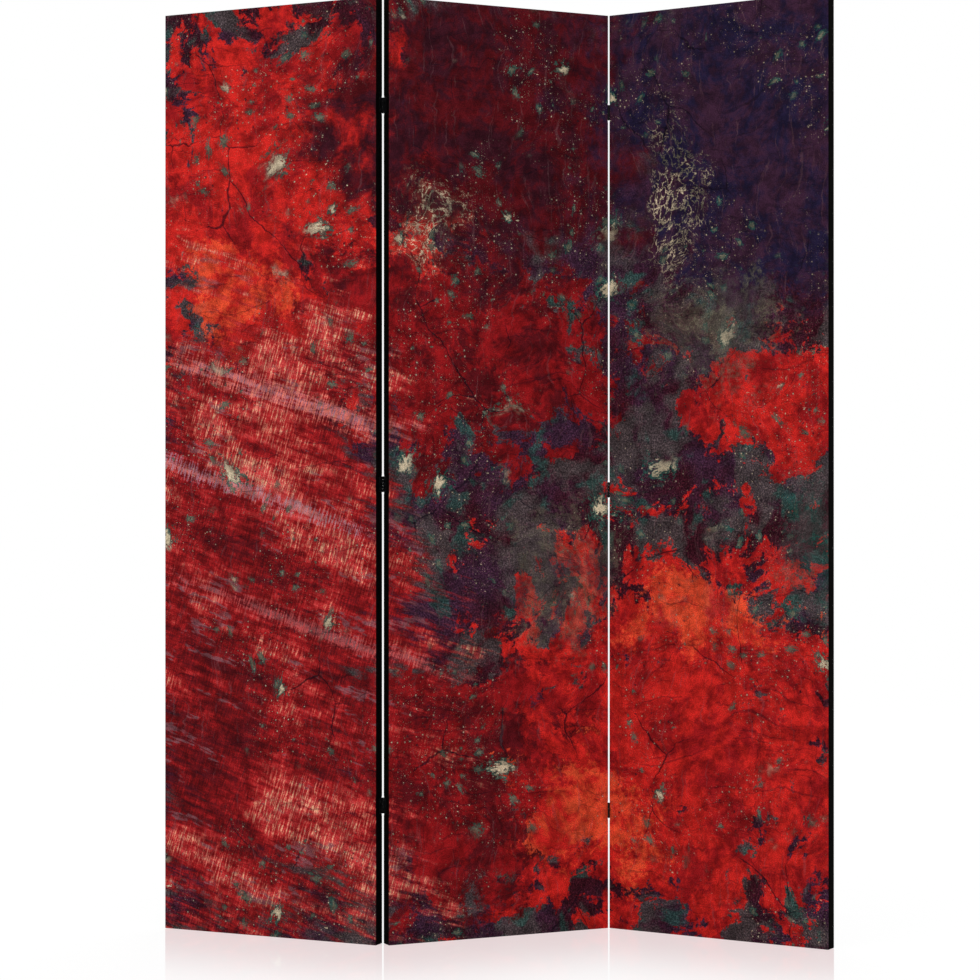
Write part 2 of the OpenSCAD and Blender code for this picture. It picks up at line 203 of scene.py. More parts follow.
class Graph:
    """Adds and joins shader nodes in one node tree."""

    def __init__(self, tree: bpy.types.NodeTree) -> None:
        """Starts on an empty tree.

        Args:
            tree: The material's tree or a node group.
        """
        self.tree = tree
        tree.nodes.clear()

    def wire(self, value: object, socket: Socket) -> None:
        """Joins a socket to another, or sets its own value.

        Args:
            value: An output socket, a number, or a row of numbers.
            socket: The input that gets it.
        """
        if isinstance(value, bpy.types.NodeSocket):
            self.tree.links.new(value, socket)
        elif socket.type == "RGBA" and len(value) == 3:
            socket.default_value = (*value, 1.0)
        else:
            socket.default_value = value

    def node(self, kind: str, wires: dict | None = None, **settings: object) -> bpy.types.Node:
        """Adds a node.

        Args:
            kind: The node's type without its ShaderNode prefix.
            wires: What each input gets, by the input's name or number.
            **settings: The node's own options.

        Returns:
            The new node.
        """
        made = self.tree.nodes.new(f"ShaderNode{kind}")
        for name, value in settings.items():
            setattr(made, name, value)
        for name, value in (wires or {}).items():
            self.wire(value, made.inputs[name])
        return made

    def calc(self, operation: str, *values: object) -> Socket:
        """Result of a Math node on the given numbers or sockets."""
        return self.node("Math", dict(enumerate(values)), operation=operation).outputs[0]

    def times(self, a: object, b: object) -> Socket:
        """Product of two numbers or sockets."""
        return self.calc("MULTIPLY", a, b)

    def roughened(self, base: object, noise: Socket, amount: object) -> Socket:
        """A number moved up and down by a noise, as far as an amount says."""
        return self.calc("MULTIPLY_ADD", self.calc("SUBTRACT", noise, 0.5), amount, base)

    def vector(self, operation: str, *values: object) -> Socket:
        """Result of a Vector Math node on the given vectors or sockets."""
        return self.node("VectorMath", dict(enumerate(values)), operation=operation).outputs[0]

    def scaled(self, value: Socket, level: object) -> Socket:
        """A vector or a colour with all its parts multiplied by one factor."""
        return self.node("VectorMath", {0: value, "Scale": level}, operation="SCALE").outputs[0]

    def joined(self, x: object, y: object, z: object = 0.0) -> Socket:
        """A vector of three numbers or sockets."""
        return self.node("CombineXYZ", {0: x, 1: y, 2: z}).outputs[0]

    def parts(self, vector: Socket) -> bpy.types.NodeOutputs:
        """The three numbers of a vector."""
        return self.node("SeparateXYZ", {0: vector}).outputs

    def stretched(self, vector: Socket, x: object, y: object, z: object = 1.0) -> Socket:
        """A vector with each part multiplied by its own number or socket."""
        return self.vector("MULTIPLY", vector, self.joined(x, y, z))

    def mix(self, factor: object, a: object, b: object) -> Socket:
        """Colour a changed towards colour b by a factor from 0 to 1."""
        return self.node("Mix", {0: factor, 6: a, 7: b}, data_type="RGBA").outputs[2]

    def blend(self, factor: object, a: object, b: object) -> Socket:
        """Number a changed towards number b by a factor from 0 to 1."""
        return self.node("Mix", {0: factor, 2: a, 3: b}, data_type="FLOAT").outputs[0]

    def step(
        self, value: Socket, low: object, high: object, start: object = 0.0, end: object = 1.0
    ) -> Socket:
        """A smooth step of a value, from start at low to end at high."""
        wires = {0: value, 1: low, 2: high, 3: start, 4: end}
        return self.node("MapRange", wires, interpolation_type="SMOOTHSTEP").outputs[0]

    def noise(
        self, vector: Socket, scale: object, detail: float = 5.0, roughness: object = 0.6,
        colour: bool = False, solid: bool = False,
    ) -> Socket:
        """Fractal noise from about 0 to 1.

        Args:
            vector: Where on the surface, or in space for a solid noise.
            scale: Waves in each metre.
            detail: Number of finer layers.
            roughness: Strength of the finer layers.
            colour: True for three noises in one.
            solid: True for a noise that also changes along z.

        Returns:
            The noise's value, or its colour.
        """
        wires = {"Vector": vector, "Scale": scale, "Detail": detail, "Roughness": roughness}
        made = self.node("TexNoise", wires, noise_dimensions="3D" if solid else "2D")
        return made.outputs["Color" if colour else "Fac"]

    def ramp(self, value: Socket, stops: Sequence[tuple[float, Colour]]) -> Socket:
        """The colour for a value, between the colours of the stops on either side of it.

        Args:
            value: From 0 to 1.
            stops: Each colour and the value that it is at, in order.

        Returns:
            The colour.
        """
        made = self.node("ValToRGB", {0: value})
        elements = made.color_ramp.elements
        elements[0].position, elements[1].position = stops[0][0], stops[-1][0]
        for place, _ in stops[1:-1]:
            elements.new(place)
        for element, (_, colour) in zip(elements, stops):
            element.color = (*colour, 1.0)
        return made.outputs["Color"]

    def effect(self, effect: "Effect", **wires: object) -> bpy.types.NodeOutputs:
        """Places a shared effect.

        Args:
            effect: The effect, built once and shared.
            **wires: What each input gets, its name written with underscores for spaces.

        Returns:
            The node's outputs.
        """
        made = self.node("Group", node_tree=effect.group())
        for name, value in wires.items():
            self.wire(value, made.inputs[name.replace("_", " ")])
        return made.outputs

    def mask(self, effect: "Effect", **wires: object) -> Socket:
        """First output of a shared effect, which gets its inputs as effect() does."""
        return self.effect(effect, **wires)[0]

    def map(self, name: str) -> Socket:
        """Places in one of the mesh's maps."""
        return self.node("UVMap", uv_map=name).outputs[0]

    def bump(
        self, height: Socket, depth: float, strength: float = 1.0, under: Socket | None = None
    ) -> Socket:
        """A normal raised by a height map.

        Args:
            height: The height, from 0 to 1.
            depth: Metres that 1 stands for.
            strength: Share of the effect.
            under: A normal that it is added to.

        Returns:
            The new normal.
        """
        wires = {"Height": height, "Distance": depth, "Strength": strength}
        if under:
            wires["Normal"] = under
        return self.node("Bump", wires).outputs[0]


@dataclass(frozen=True)
class Effect:
    """A look that several materials share, kept as a shader node group."""

    name: str
    inputs: dict[str, object]
    outputs: tuple[str, ...]
    draw: Callable[[Graph, Inputs], Sequence[Socket]]

    def group(self) -> bpy.types.NodeTree:
        """The node group, made at its first use.

        Returns:
            The shared group.
        """
        known = bpy.data.node_groups.get(self.name)
        if known:
            return known
        tree = bpy.data.node_groups.new(self.name, "ShaderNodeTree")
        graph = Graph(tree)
        for label, default in self.inputs.items():
            kind = "NodeSocketFloat" if isinstance(default, float) else "NodeSocketVector"
            made = tree.interface.new_socket(label, in_out="INPUT", socket_type=kind)
            made.default_value = default
        for label in self.outputs:
            kind = "NodeSocketVector" if label == "Vector" else "NodeSocketFloat"
            tree.interface.new_socket(label, in_out="OUTPUT", socket_type=kind)
        start = tree.nodes.new("NodeGroupInput")
        end = tree.nodes.new("NodeGroupOutput")
        for made, socket in zip(self.draw(graph, dict(start.outputs.items())), end.inputs):
            graph.wire(made, socket)
        return tree


def draw_warp(graph: Graph, use: Inputs) -> list[Socket]:
    """Pushes places about by noise, so that shapes laid on them get wandering outlines.

    Args:
        graph: The group's graph.
        use: The group's inputs.

    Returns:
        The moved places.
    """
    cloud = graph.noise(use["Vector"], use["Scale"], 2.0, 0.55, colour=True)
    push = graph.vector("SUBTRACT", cloud, (0.5, 0.5, 0.5))
    return [graph.vector("ADD", use["Vector"], graph.scaled(push, use["Amount"]))]


def draw_cloud(graph: Graph, use: Inputs) -> list[Socket]:
    """Draws soft or sharp clouds, stretched along either axis.

    Args:
        graph: The group's graph.
        use: The group's inputs.

    Returns:
        A mask of the clouds.
    """
    place = graph.stretched(use["Vector"], use["Stretch X"], use["Stretch Y"])
    shifted = graph.vector("ADD", place, graph.joined(use["Seed"], use["Seed"]))
    cloud = graph.noise(shifted, use["Scale"], 4.0, use["Roughness"])
    return [graph.step(cloud, use["Low"], use["High"])]


def draw_patch(graph: Graph, use: Inputs) -> list[Socket]:
    """Draws one worn patch: an oval whose edge a cloud breaks up.

    Args:
        graph: The group's graph.
        use: The group's inputs.

    Returns:
        A mask of the patch.
    """
    away = graph.vector("SUBTRACT", use["Vector"], use["Centre"])
    share = graph.vector("DIVIDE", graph.stretched(away, 1.0, 1.0, 0.0), use["Radius"])
    reach = graph.node("VectorMath", {0: share}, operation="LENGTH").outputs["Value"]
    inside = graph.calc("SUBTRACT", graph.roughened(1.0, use["Cloud"], use["Break"]), reach)
    return [graph.step(inside, graph.times(use["Edge"], -1.0), use["Edge"])]


def draw_spots(graph: Graph, use: Inputs) -> list[Socket]:
    """Scatters ragged spots with a core and a rim, where only a share of places has one.

    Args:
        graph: The group's graph.
        use: The group's inputs.

    Returns:
        Masks of the whole spots and of their cores.
    """
    wires = {"Vector": use["Vector"], "Scale": use["Scale"], "Randomness": 1.0}
    cells = graph.node("TexVoronoi", wires, voronoi_dimensions="2D")
    parts = graph.parts(cells.outputs["Color"])
    there = graph.calc("LESS_THAN", parts[0], use["Share"])
    size = graph.times(use["Radius"], graph.calc("MULTIPLY_ADD", parts[1], 0.75, 0.25))
    ragged = graph.noise(use["Vector"], graph.times(use["Scale"], 9.0), 3.0, 0.8)
    reach = graph.times(size, graph.roughened(1.0, ragged, use["Ragged"]))
    share = graph.calc("DIVIDE", cells.outputs["Distance"], reach)
    return [
        graph.times(graph.step(share, low, high, 1.0, 0.0), there)
        for low, high in ((0.85, 1.1), (0.35, 0.72))
    ]


def draw_veins(graph: Graph, use: Inputs) -> list[Socket]:
    """Draws a net of fine branching lines that fade in and out.

    Args:
        graph: The group's graph.
        use: The group's inputs.

    Returns:
        A mask of the lines.
    """
    wires = {"Vector": use["Vector"], "Scale": use["Scale"]}
    settings = {"feature": "DISTANCE_TO_EDGE", "voronoi_dimensions": "2D"}
    net = graph.node("TexVoronoi", wires, **settings).outputs["Distance"]
    fade = graph.noise(use["Vector"], graph.times(use["Scale"], 0.7), 2.0)
    width = graph.calc("MULTIPLY_ADD", graph.step(fade, 0.46, 0.70), use["Width"], -0.001)
    return [graph.step(graph.calc("SUBTRACT", net, width), -0.004, 0.004, 1.0, 0.0)]


def draw_weave(graph: Graph, use: Inputs) -> list[Socket]:
    """Raises a plain weave, each thread rising over one and dipping under the next.

    Args:
        graph: The group's graph.
        use: The group's inputs.

    Returns:
        The weave's height.
    """
    half = graph.scaled(use["Vector"], math.pi)
    parts = graph.parts(graph.vector("MULTIPLY", half, use["Threads"]))
    warp, weft = (graph.calc("ABSOLUTE", graph.calc("SINE", parts[k])) for k in (0, 1))
    waves = [graph.calc("SINE", graph.calc("ADD", parts[k], math.pi / 2)) for k in (0, 1)]
    over = graph.step(graph.times(*waves), -0.6, 0.6)
    return [graph.blend(over, warp, weft)]


def draw_grain(graph: Graph, use: Inputs) -> list[Socket]:
    """Draws timber whose grain runs along z.

    Args:
        graph: The group's graph.
        use: The group's inputs.

    Returns:
        Masks of the growth rings' late wood and of the fine fibres.
    """
    slow = graph.stretched(use["Vector"], 1.0, 1.0, 0.06)
    wander = graph.noise(slow, 9.0, 2.0, 0.5, solid=True)
    parts = graph.parts(use["Vector"])
    off = [graph.calc("ADD", parts[k], shift) for k, shift in ((0, 0.031), (1, 0.058))]
    reach = graph.calc("SQRT", graph.calc("ADD", *(graph.calc("POWER", part, 2.0) for part in off)))
    turned = graph.calc("MULTIPLY_ADD", wander, 0.03, reach)
    ring = graph.calc("FRACT", graph.times(turned, use["Rings"]))
    late = graph.times(graph.step(ring, 0.35, 0.93), graph.step(ring, 0.95, 1.0, 1.0, 0.0))
    fine = graph.stretched(use["Vector"], 1.0, 1.0, 0.02)
    return [late, graph.noise(fine, use["Fibre"], 3.0, 0.65, solid=True)]


def draw_wear(graph: Graph, use: Inputs) -> list[Socket]:
    """Rubs the edges: high where the surface is convex, broken up by noise.

    Args:
        graph: The group's graph.
        use: The group's inputs.

    Returns:
        A mask of the rubbed places.
    """
    edge = graph.node("NewGeometry").outputs["Pointiness"]
    broken = graph.noise(use["Vector"], use["Scale"], 3.0, 0.7, solid=True)
    return [graph.step(graph.roughened(edge, broken, use["Break"]), use["Low"], use["High"])]


def draw_dust(graph: Graph, use: Inputs) -> list[Socket]:
    """Strews lint and dust: fine specks over a faint cloud.

    Args:
        graph: The group's graph.
        use: The group's inputs.

    Returns:
        A mask of the specks.
    """
    speck = graph.noise(use["Vector"], use["Scale"], 2.0, 0.75, solid=True)
    cloud = graph.noise(use["Vector"], graph.times(use["Scale"], 0.03), 2.0, solid=True)
    return [graph.times(graph.step(speck, use["Low"], 0.8), graph.step(cloud, 0.3, 0.7))]


ORIGIN = (0.0, 0.0, 0.0)
WARP = Effect("Wandering places", {"Vector": ORIGIN, "Scale": 6.0, "Amount": 0.05}, ("Vector",), draw_warp)
CLOUD = Effect(
    "Cloudy mask",
    {"Vector": ORIGIN, "Scale": 4.0, "Roughness": 0.6, "Stretch X": 1.0, "Stretch Y": 1.0,
     "Low": 0.4, "High": 0.6, "Seed": 0.0},
    ("Mask",),
    draw_cloud,
)
PATCH = Effect(
    "Worn patch",
    {"Vector": ORIGIN, "Centre": ORIGIN, "Radius": (1.0, 1.0, 1.0), "Cloud": 0.5, "Break": 1.0, "Edge": 0.1},
    ("Mask",),
    draw_patch,
)
SPOTS = Effect(
    "Ragged spots",
    {"Vector": ORIGIN, "Scale": 20.0, "Radius": 0.3, "Share": 0.3, "Ragged": 1.0},
    ("Whole", "Core"),
    draw_spots,
)
VEINS = Effect("Branching veins", {"Vector": ORIGIN, "Scale": 8.0, "Width": 0.02}, ("Mask",), draw_veins)
WEAVE = Effect("Plain weave", {"Vector": ORIGIN, "Threads": (1800.0, 1800.0, 0.0)}, ("Height",), draw_weave)
GRAIN = Effect(
    "Timber grain", {"Vector": ORIGIN, "Rings": 330.0, "Fibre": 900.0}, ("Late", "Fibre"), draw_grain
)
WEAR = Effect(
    "Rubbed edges",
    {"Vector": ORIGIN, "Scale": 300.0, "Break": 0.1, "Low": 0.52, "High": 0.6},
    ("Mask",),
    draw_wear,
)
DUST = Effect("Dust and lint", {"Vector": ORIGIN, "Scale": 900.0, "Low": 0.6}, ("Mask",), draw_dust)


@dataclass(frozen=True)
class Finish:
    """A material that is made at its first use and then shared."""

    name: str = "finish"

    def material(self) -> bpy.types.Material:
        """The material.

        Returns:
            The shared material with this finish's nodes.
        """
        known = bpy.data.materials.get(self.name)
        if known:
            return known
        made = bpy.data.materials.new(self.name)
        made.use_nodes = True
        graph = Graph(made.node_tree)
        shader = graph.node("BsdfPrincipled", self.draw(graph))
        graph.node("OutputMaterial", {"Surface": shader.outputs[0]})
        return made

    def draw(self, graph: Graph) -> dict[str, object]:
        """What the shader's inputs get, by their names."""
        raise NotImplementedError


@dataclass(frozen=True)
class Paint:
    """One worn area of paint in the print, in metres from the print's lower left corner."""

    centre: Flat
    radius: Flat
    colours: tuple[Colour, Colour]
    breakup: float = 2.0
    edge: float = 0.10
    grain: float = 0.2
    cloud: int = 0
    cover: float = 1.0
    lace: float = 0.0


@dataclass(frozen=True)
class Stroke:
    """One long brush stroke in the sweep, in metres along and across it."""

    centre: Flat
    radius: Flat
    colours: tuple[Colour, Colour]


@dataclass(frozen=True)
class Speck:
    """One size of ragged spot that is strewn over the print."""

    scale: float
    radius: float
    share: float
    rim: Colour
    core: Colour
    seed: float
    cover: float
    wandering: bool = False


SCARLET: Colour = (0.56, 0.018, 0.014)
BLOOD: Colour = (0.27, 0.008, 0.010)
OXBLOOD: Colour = (0.090, 0.005, 0.008)
WINE: Colour = (0.040, 0.006, 0.012)
PLUM: Colour = (0.040, 0.014, 0.032)
NIGHT: Colour = (0.014, 0.010, 0.034)
ROSE: Colour = (0.46, 0.070, 0.070)
SALMON: Colour = (0.68, 0.17, 0.13)
PEACH: Colour = (0.80, 0.44, 0.26)
LILAC: Colour = (0.34, 0.17, 0.22)
MAUVE: Colour = (0.17, 0.080, 0.090)
HEATHER: Colour = (0.20, 0.075, 0.095)
SLATE: Colour = (0.062, 0.048, 0.050)
MOSS: Colour = (0.14, 0.125, 0.085)
TEAL: Colour = (0.014, 0.085, 0.070)
CREAM: Colour = (0.62, 0.50, 0.34)
EMBER: Colour = (0.78, 0.085, 0.030)
SOOT: Colour = (0.05, 0.02, 0.03)
INK: Colour = (0.006, 0.003, 0.008)
BORDER_BLACK: Colour = (0.0014, 0.0011, 0.0010)

PAINTS = (
    Paint((0.24, 1.36), (0.34, 0.34), (SCARLET, BLOOD), 3.4, 0.07, 0.15, 0),
    Paint((0.60, 1.08), (0.30, 0.20), (BLOOD, OXBLOOD), 3.4, 0.07, 0.20, 1),
    Paint((1.04, 0.36), (0.44, 0.33), (SCARLET, BLOOD), 3.6, 0.06, 0.15, 2),
    Paint((1.22, 0.98), (0.15, 0.11), (BLOOD, SCARLET), 4.2, 0.06, 0.20, 1),
    Paint((0.66, 1.52), (0.34, 0.27), (OXBLOOD, WINE), 2.2, 0.30, 0.10, 1),
    Paint((0.58, 0.30), (0.24, 0.22), (OXBLOOD, BLOOD), 3.0, 0.16, 0.25, 0),
    Paint((1.24, 1.54), (0.36, 0.32), (PLUM, NIGHT), 2.0, 0.26, 0.15, 2),
    Paint((1.20, 1.30), (0.16, 0.12), (NIGHT, PLUM), 3.0, 0.20, 0.30, 0),
    Paint((0.80, 0.66), (0.10, 0.09), (MOSS, SLATE), 5.6, 0.36, 0.40, 1, 0.80, 0.55),
    Paint((1.12, 1.12), (0.11, 0.09), (MOSS, SLATE), 5.8, 0.36, 0.42, 2, 0.80, 0.50),
    Paint((0.52, 1.30), (0.06, 0.07), (CREAM, MOSS), 6.0, 0.34, 0.45, 0, 0.70, 0.95),
    Paint((1.32, 0.74), (0.07, 0.10), (TEAL, SLATE), 6.0, 0.34, 0.45, 1, 0.70, 0.50),
    Paint((1.03, 1.38), (0.055, 0.12), (CREAM, MOSS), 6.0, 0.30, 0.45, 2, 0.85, 1.0),
    Paint((0.86, 0.22), (0.12, 0.09), (EMBER, SCARLET), 5.6, 0.16, 0.35, 0, 0.75),
    Paint((1.10, 0.60), (0.15, 0.06), (EMBER, SCARLET), 5.6, 0.16, 0.35, 1, 0.75),
    Paint((0.14, 1.20), (0.09, 0.08), (EMBER, SCARLET), 5.6, 0.16, 0.35, 2, 0.75),
)

BRUSHED = (
    (0.16, OXBLOOD), (0.30, (0.16, 0.007, 0.009)), (0.44, BLOOD), (0.56, (0.38, 0.020, 0.021)),
    (0.72, (0.50, 0.042, 0.042)), (0.88, (0.56, 0.10, 0.085)), (1.0, (0.70, 0.24, 0.17)),
)

STROKES = (
    Stroke((0.30, 0.99), (0.40, 0.016), (LILAC, SALMON)),
    Stroke((0.12, 0.80), (0.22, 0.010), (SALMON, LILAC)),
    Stroke((0.40, 0.60), (0.26, 0.010), (MAUVE, ROSE)),
)

SPECKS = (
    Speck(9.0, 0.24, 0.30, TEAL, CREAM, 0.0, 0.9, wandering=True),
    Speck(26.0, 0.24, 0.36, TEAL, MOSS, 4.0, 0.85, wandering=True),
    Speck(58.0, 0.13, 0.30, INK, SOOT, 2.0, 0.8),
    Speck(84.0, 0.17, 0.34, SLATE, CREAM, 7.0, 0.8),
    Speck(210.0, 0.15, 0.22, MAUVE, CREAM, 9.0, 0.75),
)


@dataclass(frozen=True)
class PrintedCanvas(Finish):
    """Printed canvas: a generic worn red paint over the front, black from the front's edge on."""

    threads: Triple = (1700.0, 1700.0 * 1.06, 0.0)
    thread_height: float = 0.12 * MM
    roughness: float = 0.66
    specular: float = 0.03
    bleed: float = 0.6 * MM
    border_step: float = 0.5 * MM
    sweep_centre: Triple = (0.24, 0.70, 0.0)
    sweep_turn: float = 0.30
    zone_centre: Flat = (0.18, 0.55)
    zone_radius: Flat = (0.34, 0.60)

    def patch(
        self, graph: Graph, place: Socket, centre: Flat, radius: Flat, cloud: Socket, breakup: float,
        edge: float,
    ) -> Socket:
        """Draws one worn patch on the print.

        Args:
            graph: The material's graph.
            place: Places on the print.
            centre: Its middle.
            radius: Its reach along both axes.
            cloud: What breaks up its edge.
            breakup: How far the cloud moves the edge, as a share of the radius.
            edge: How soft the edge is, as a share of the radius.

        Returns:
            A mask of the patch.
        """
        return graph.mask(
            PATCH, Vector=place, Centre=(*centre, 0.0), Radius=(*radius, 1.0), Cloud=cloud, Break=breakup,
            Edge=edge,
        )

    def ground(self, graph: Graph, flat: Socket, place: Socket) -> Socket:
        """Lays the dark gritty ground that the reds are worn away from.

        Args:
            graph: The material's graph.
            flat: Places on the print.
            place: Wandering places on the print.

        Returns:
            The ground's colour.
        """
        colour = graph.mix(graph.mask(CLOUD, Vector=place, Scale=5.0, Low=0.38, High=0.62), WINE, PLUM)
        for tint, scale, low, share in ((SLATE, 9.0, 0.48, 0.85), (TEAL, 14.0, 0.57, 0.55)):
            cover = graph.mask(CLOUD, Vector=place, Scale=scale, Low=low, High=low + 0.12, Seed=scale)
            colour = graph.mix(graph.times(cover, share), colour, tint)
        grit = graph.mask(CLOUD, Vector=flat, Scale=300.0, Roughness=0.8, Low=0.40, High=0.70, Seed=2.0)
        return graph.scaled(colour, graph.blend(grit, 0.50, 2.30))

    def coats(self, graph: Graph, place: Socket, fine: Socket, vary: Socket, colour: Socket) -> Socket:
        """Lays the worn areas of paint over the ground.

        Args:
            graph: The material's graph.
            place: Wandering places on the print.
            fine: A fine noise, for grainy edges.
            vary: A mask that moves each area between its two colours.
            colour: The colour so far.

        Returns:
            The colour with the coats.
        """
        clouds = graph.parts(graph.noise(place, 11.0, 6.0, 0.68, colour=True))
        ridge = graph.calc("ABSOLUTE", graph.calc("SUBTRACT", graph.noise(place, 46.0, 4.0, 0.62), 0.5))
        lacy = graph.step(graph.calc("MULTIPLY_ADD", fine, 0.10, ridge), 0.055, 0.085, 1.0, 0.0)
        for paint in PAINTS:
            cloud = graph.blend(paint.grain, clouds[paint.cloud], fine)
            cover = self.patch(graph, place, paint.centre, paint.radius, cloud, paint.breakup, paint.edge)
            worn = graph.blend(paint.lace, paint.cover, lacy) if paint.lace else paint.cover
            colour = graph.mix(graph.times(cover, worn), colour, graph.mix(vary, *paint.colours))
        return colour

    def sweep(self, graph: Graph, flat: Socket, place: Socket, colour: Socket) -> Socket:
        """Adds the broad dry-brushed sweep of rose, salmon and mauve.

        Args:
            graph: The material's graph.
            flat: Places on the print.
            place: Wandering places on the print.
            colour: The colour so far.

        Returns:
            The colour with the sweep.
        """
        wires = {"Vector": flat, "Center": self.sweep_centre, "Angle": self.sweep_turn}
        turned = graph.node("VectorRotate", wires, rotation_type="Z_AXIS").outputs[0]
        bristles = graph.noise(graph.stretched(turned, 1.0, 0.10), 300.0, 3.0, 0.66)
        drags = graph.noise(graph.stretched(turned, 0.14, 1.0), 90.0, 4.0, 0.70)
        broad = graph.noise(graph.stretched(turned, 0.45, 1.0), 7.0, 5.0, 0.66)
        light = graph.calc("MULTIPLY_ADD", bristles, 0.24, graph.times(drags, 0.34))
        light = graph.calc("MULTIPLY_ADD", broad, 0.62, light)
        brushed = graph.ramp(graph.step(light, 0.34, 0.90), BRUSHED)
        glaze = graph.mask(
            CLOUD, Vector=turned, Scale=15.0, Roughness=0.76, Stretch_X=0.34, Low=0.58, High=0.63, Seed=4.0
        )
        glaze = graph.times(glaze, graph.step(drags, 0.42, 0.56, 0.0, 0.75))
        brushed = graph.mix(glaze, brushed, graph.mix(bristles, MAUVE, HEATHER))
        scuffed = graph.times(graph.step(bristles, 0.54, 0.62), graph.step(broad, 0.50, 0.62, 0.0, 0.85))
        brushed = graph.mix(scuffed, brushed, graph.mix(graph.step(drags, 0.40, 0.60), SALMON, PEACH))
        for stroke in STROKES:
            cloud = graph.blend(0.55, drags, bristles)
            cover = graph.times(self.patch(graph, turned, stroke.centre, stroke.radius, cloud, 9.0, 0.5), 0.8)
            streaks = graph.mix(graph.step(bristles, 0.42, 0.58), *stroke.colours)
            brushed = graph.mix(cover, brushed, streaks)
        cloud = graph.blend(0.4, broad, drags)
        zone = self.patch(graph, place, self.zone_centre, self.zone_radius, cloud, 2.4, 0.20)
        return graph.mix(zone, colour, brushed)

    def marks(self, graph: Graph, flat: Socket, place: Socket, colour: Socket) -> Socket:
        """Adds cracks, scratches, lichen-like spots, pinholes and specks.

        Args:
            graph: The material's graph.
            flat: Places on the print.
            place: Wandering places on the print.
            colour: The colour so far.

        Returns:
            The colour with the marks.
        """
        for scale, width, share in ((6.0, 0.011, 0.75), (21.0, 0.013, 0.45)):
            crack = graph.mask(VEINS, Vector=place, Scale=scale, Width=width)
            colour = graph.mix(graph.times(crack, share), colour, INK)
        for x, y, seed, tint, share in ((0.03, 1.0, 5.0, INK, 0.45), (1.0, 0.06, 8.0, MAUVE, 0.22)):
            scratch = graph.mask(
                CLOUD, Vector=place, Scale=150.0, Roughness=0.6, Stretch_X=x, Stretch_Y=y, Low=0.63,
                High=0.70, Seed=seed,
            )
            colour = graph.mix(graph.times(scratch, share), colour, tint)
        gather = graph.mask(CLOUD, Vector=flat, Scale=4.2, Low=0.44, High=0.58, Seed=11.0)
        for speck in SPECKS:
            moved = graph.vector("ADD", place if speck.wandering else flat, (speck.seed, speck.seed, 0.0))
            spots = graph.effect(
                SPOTS, Vector=moved, Scale=speck.scale, Radius=speck.radius, Share=speck.share, Ragged=4.6
            )
            whole, core = (graph.times(graph.times(part, gather), speck.cover) for part in spots[:2])
            colour = graph.mix(core, graph.mix(whole, colour, speck.rim), speck.core)
        return colour

    def draw(self, graph: Graph) -> dict[str, object]:
        """Draws the print, the black border and the weave.

        Args:
            graph: The material's graph.

        Returns:
            What the shader's inputs get, by their names.
        """
        flat = graph.map("Print")
        place = graph.mask(WARP, Vector=flat, Scale=4.0, Amount=0.12)
        place = graph.mask(WARP, Vector=place, Scale=34.0, Amount=0.014)
        fine = graph.noise(flat, 110.0, 4.0, 0.76)
        vary = graph.mask(CLOUD, Vector=place, Scale=10.0, Roughness=0.82, Low=0.40, High=0.62, Seed=1.0)
        colour = self.coats(graph, place, fine, vary, self.ground(graph, flat, place))
        colour = self.marks(graph, flat, place, self.sweep(graph, flat, place, colour))
        mottle = graph.mask(CLOUD, Vector=flat, Scale=30.0, Roughness=0.72, Low=0.32, High=0.68, Seed=3.0)
        colour = graph.scaled(colour, graph.blend(mottle, 0.62, 1.24))
        speckle = graph.noise(flat, 520.0, 1.0, 0.8)
        colour = graph.scaled(colour, graph.step(speckle, 0.26, 0.74, 0.66, 1.36))
        weave = graph.mask(WEAVE, Vector=flat, Threads=self.threads)
        past_edge = graph.roughened(graph.parts(graph.map("Border"))[0], speckle, self.bleed)
        return {
            "Base Color": graph.mix(graph.step(past_edge, 0.0, self.border_step), colour, BORDER_BLACK),
            "Roughness": graph.blend(fine, self.roughness - 0.08, self.roughness + 0.14),
            "Normal": graph.bump(weave, self.thread_height, 0.35),
            "Specular IOR Level": self.specular,
        }


@dataclass(frozen=True)
class BlackBorder(Finish):
    """The canvas where it turns round the frame: flooded with matt black ink, thin on the threads' tops,
    whose lighter colour is partly worn ink and partly a painted highlight.
    """

    threads: Triple = (1700.0, 1800.0, 0.0)
    thread_height: float = 0.15 * MM
    specular: float = 0.012

    def draw(self, graph: Graph) -> dict[str, object]:
        """Draws the ink, its thread tops lightened as bare canvas and as a painted highlight, and the weave.

        Args:
            graph: The material's graph.

        Returns:
            What the shader's inputs get, by their names.
        """
        flat = graph.map("Print")
        weave = graph.mask(WEAVE, Vector=flat, Threads=self.threads)
        fuzz = graph.noise(flat, 900.0, 2.0, 0.7)
        # Thread tops lightened: partly ink worn thin, partly a painted highlight on the weave's crests
        thin_ink_and_highlight = graph.times(graph.step(fuzz, 0.52, 0.72), weave)
        flood = graph.mask(CLOUD, Vector=flat, Scale=24.0, Low=0.3, High=0.7)
        deep = graph.mix(flood, BORDER_BLACK, tone(BORDER_BLACK, 1.5))
        return {
            "Base Color": graph.mix(thin_ink_and_highlight, deep, tone(BORDER_BLACK, 4.5)),
            "Roughness": graph.blend(fuzz, 0.80, 0.95),
            "Normal": graph.bump(weave, self.thread_height, 0.5),
            "Specular IOR Level": self.specular,
        }


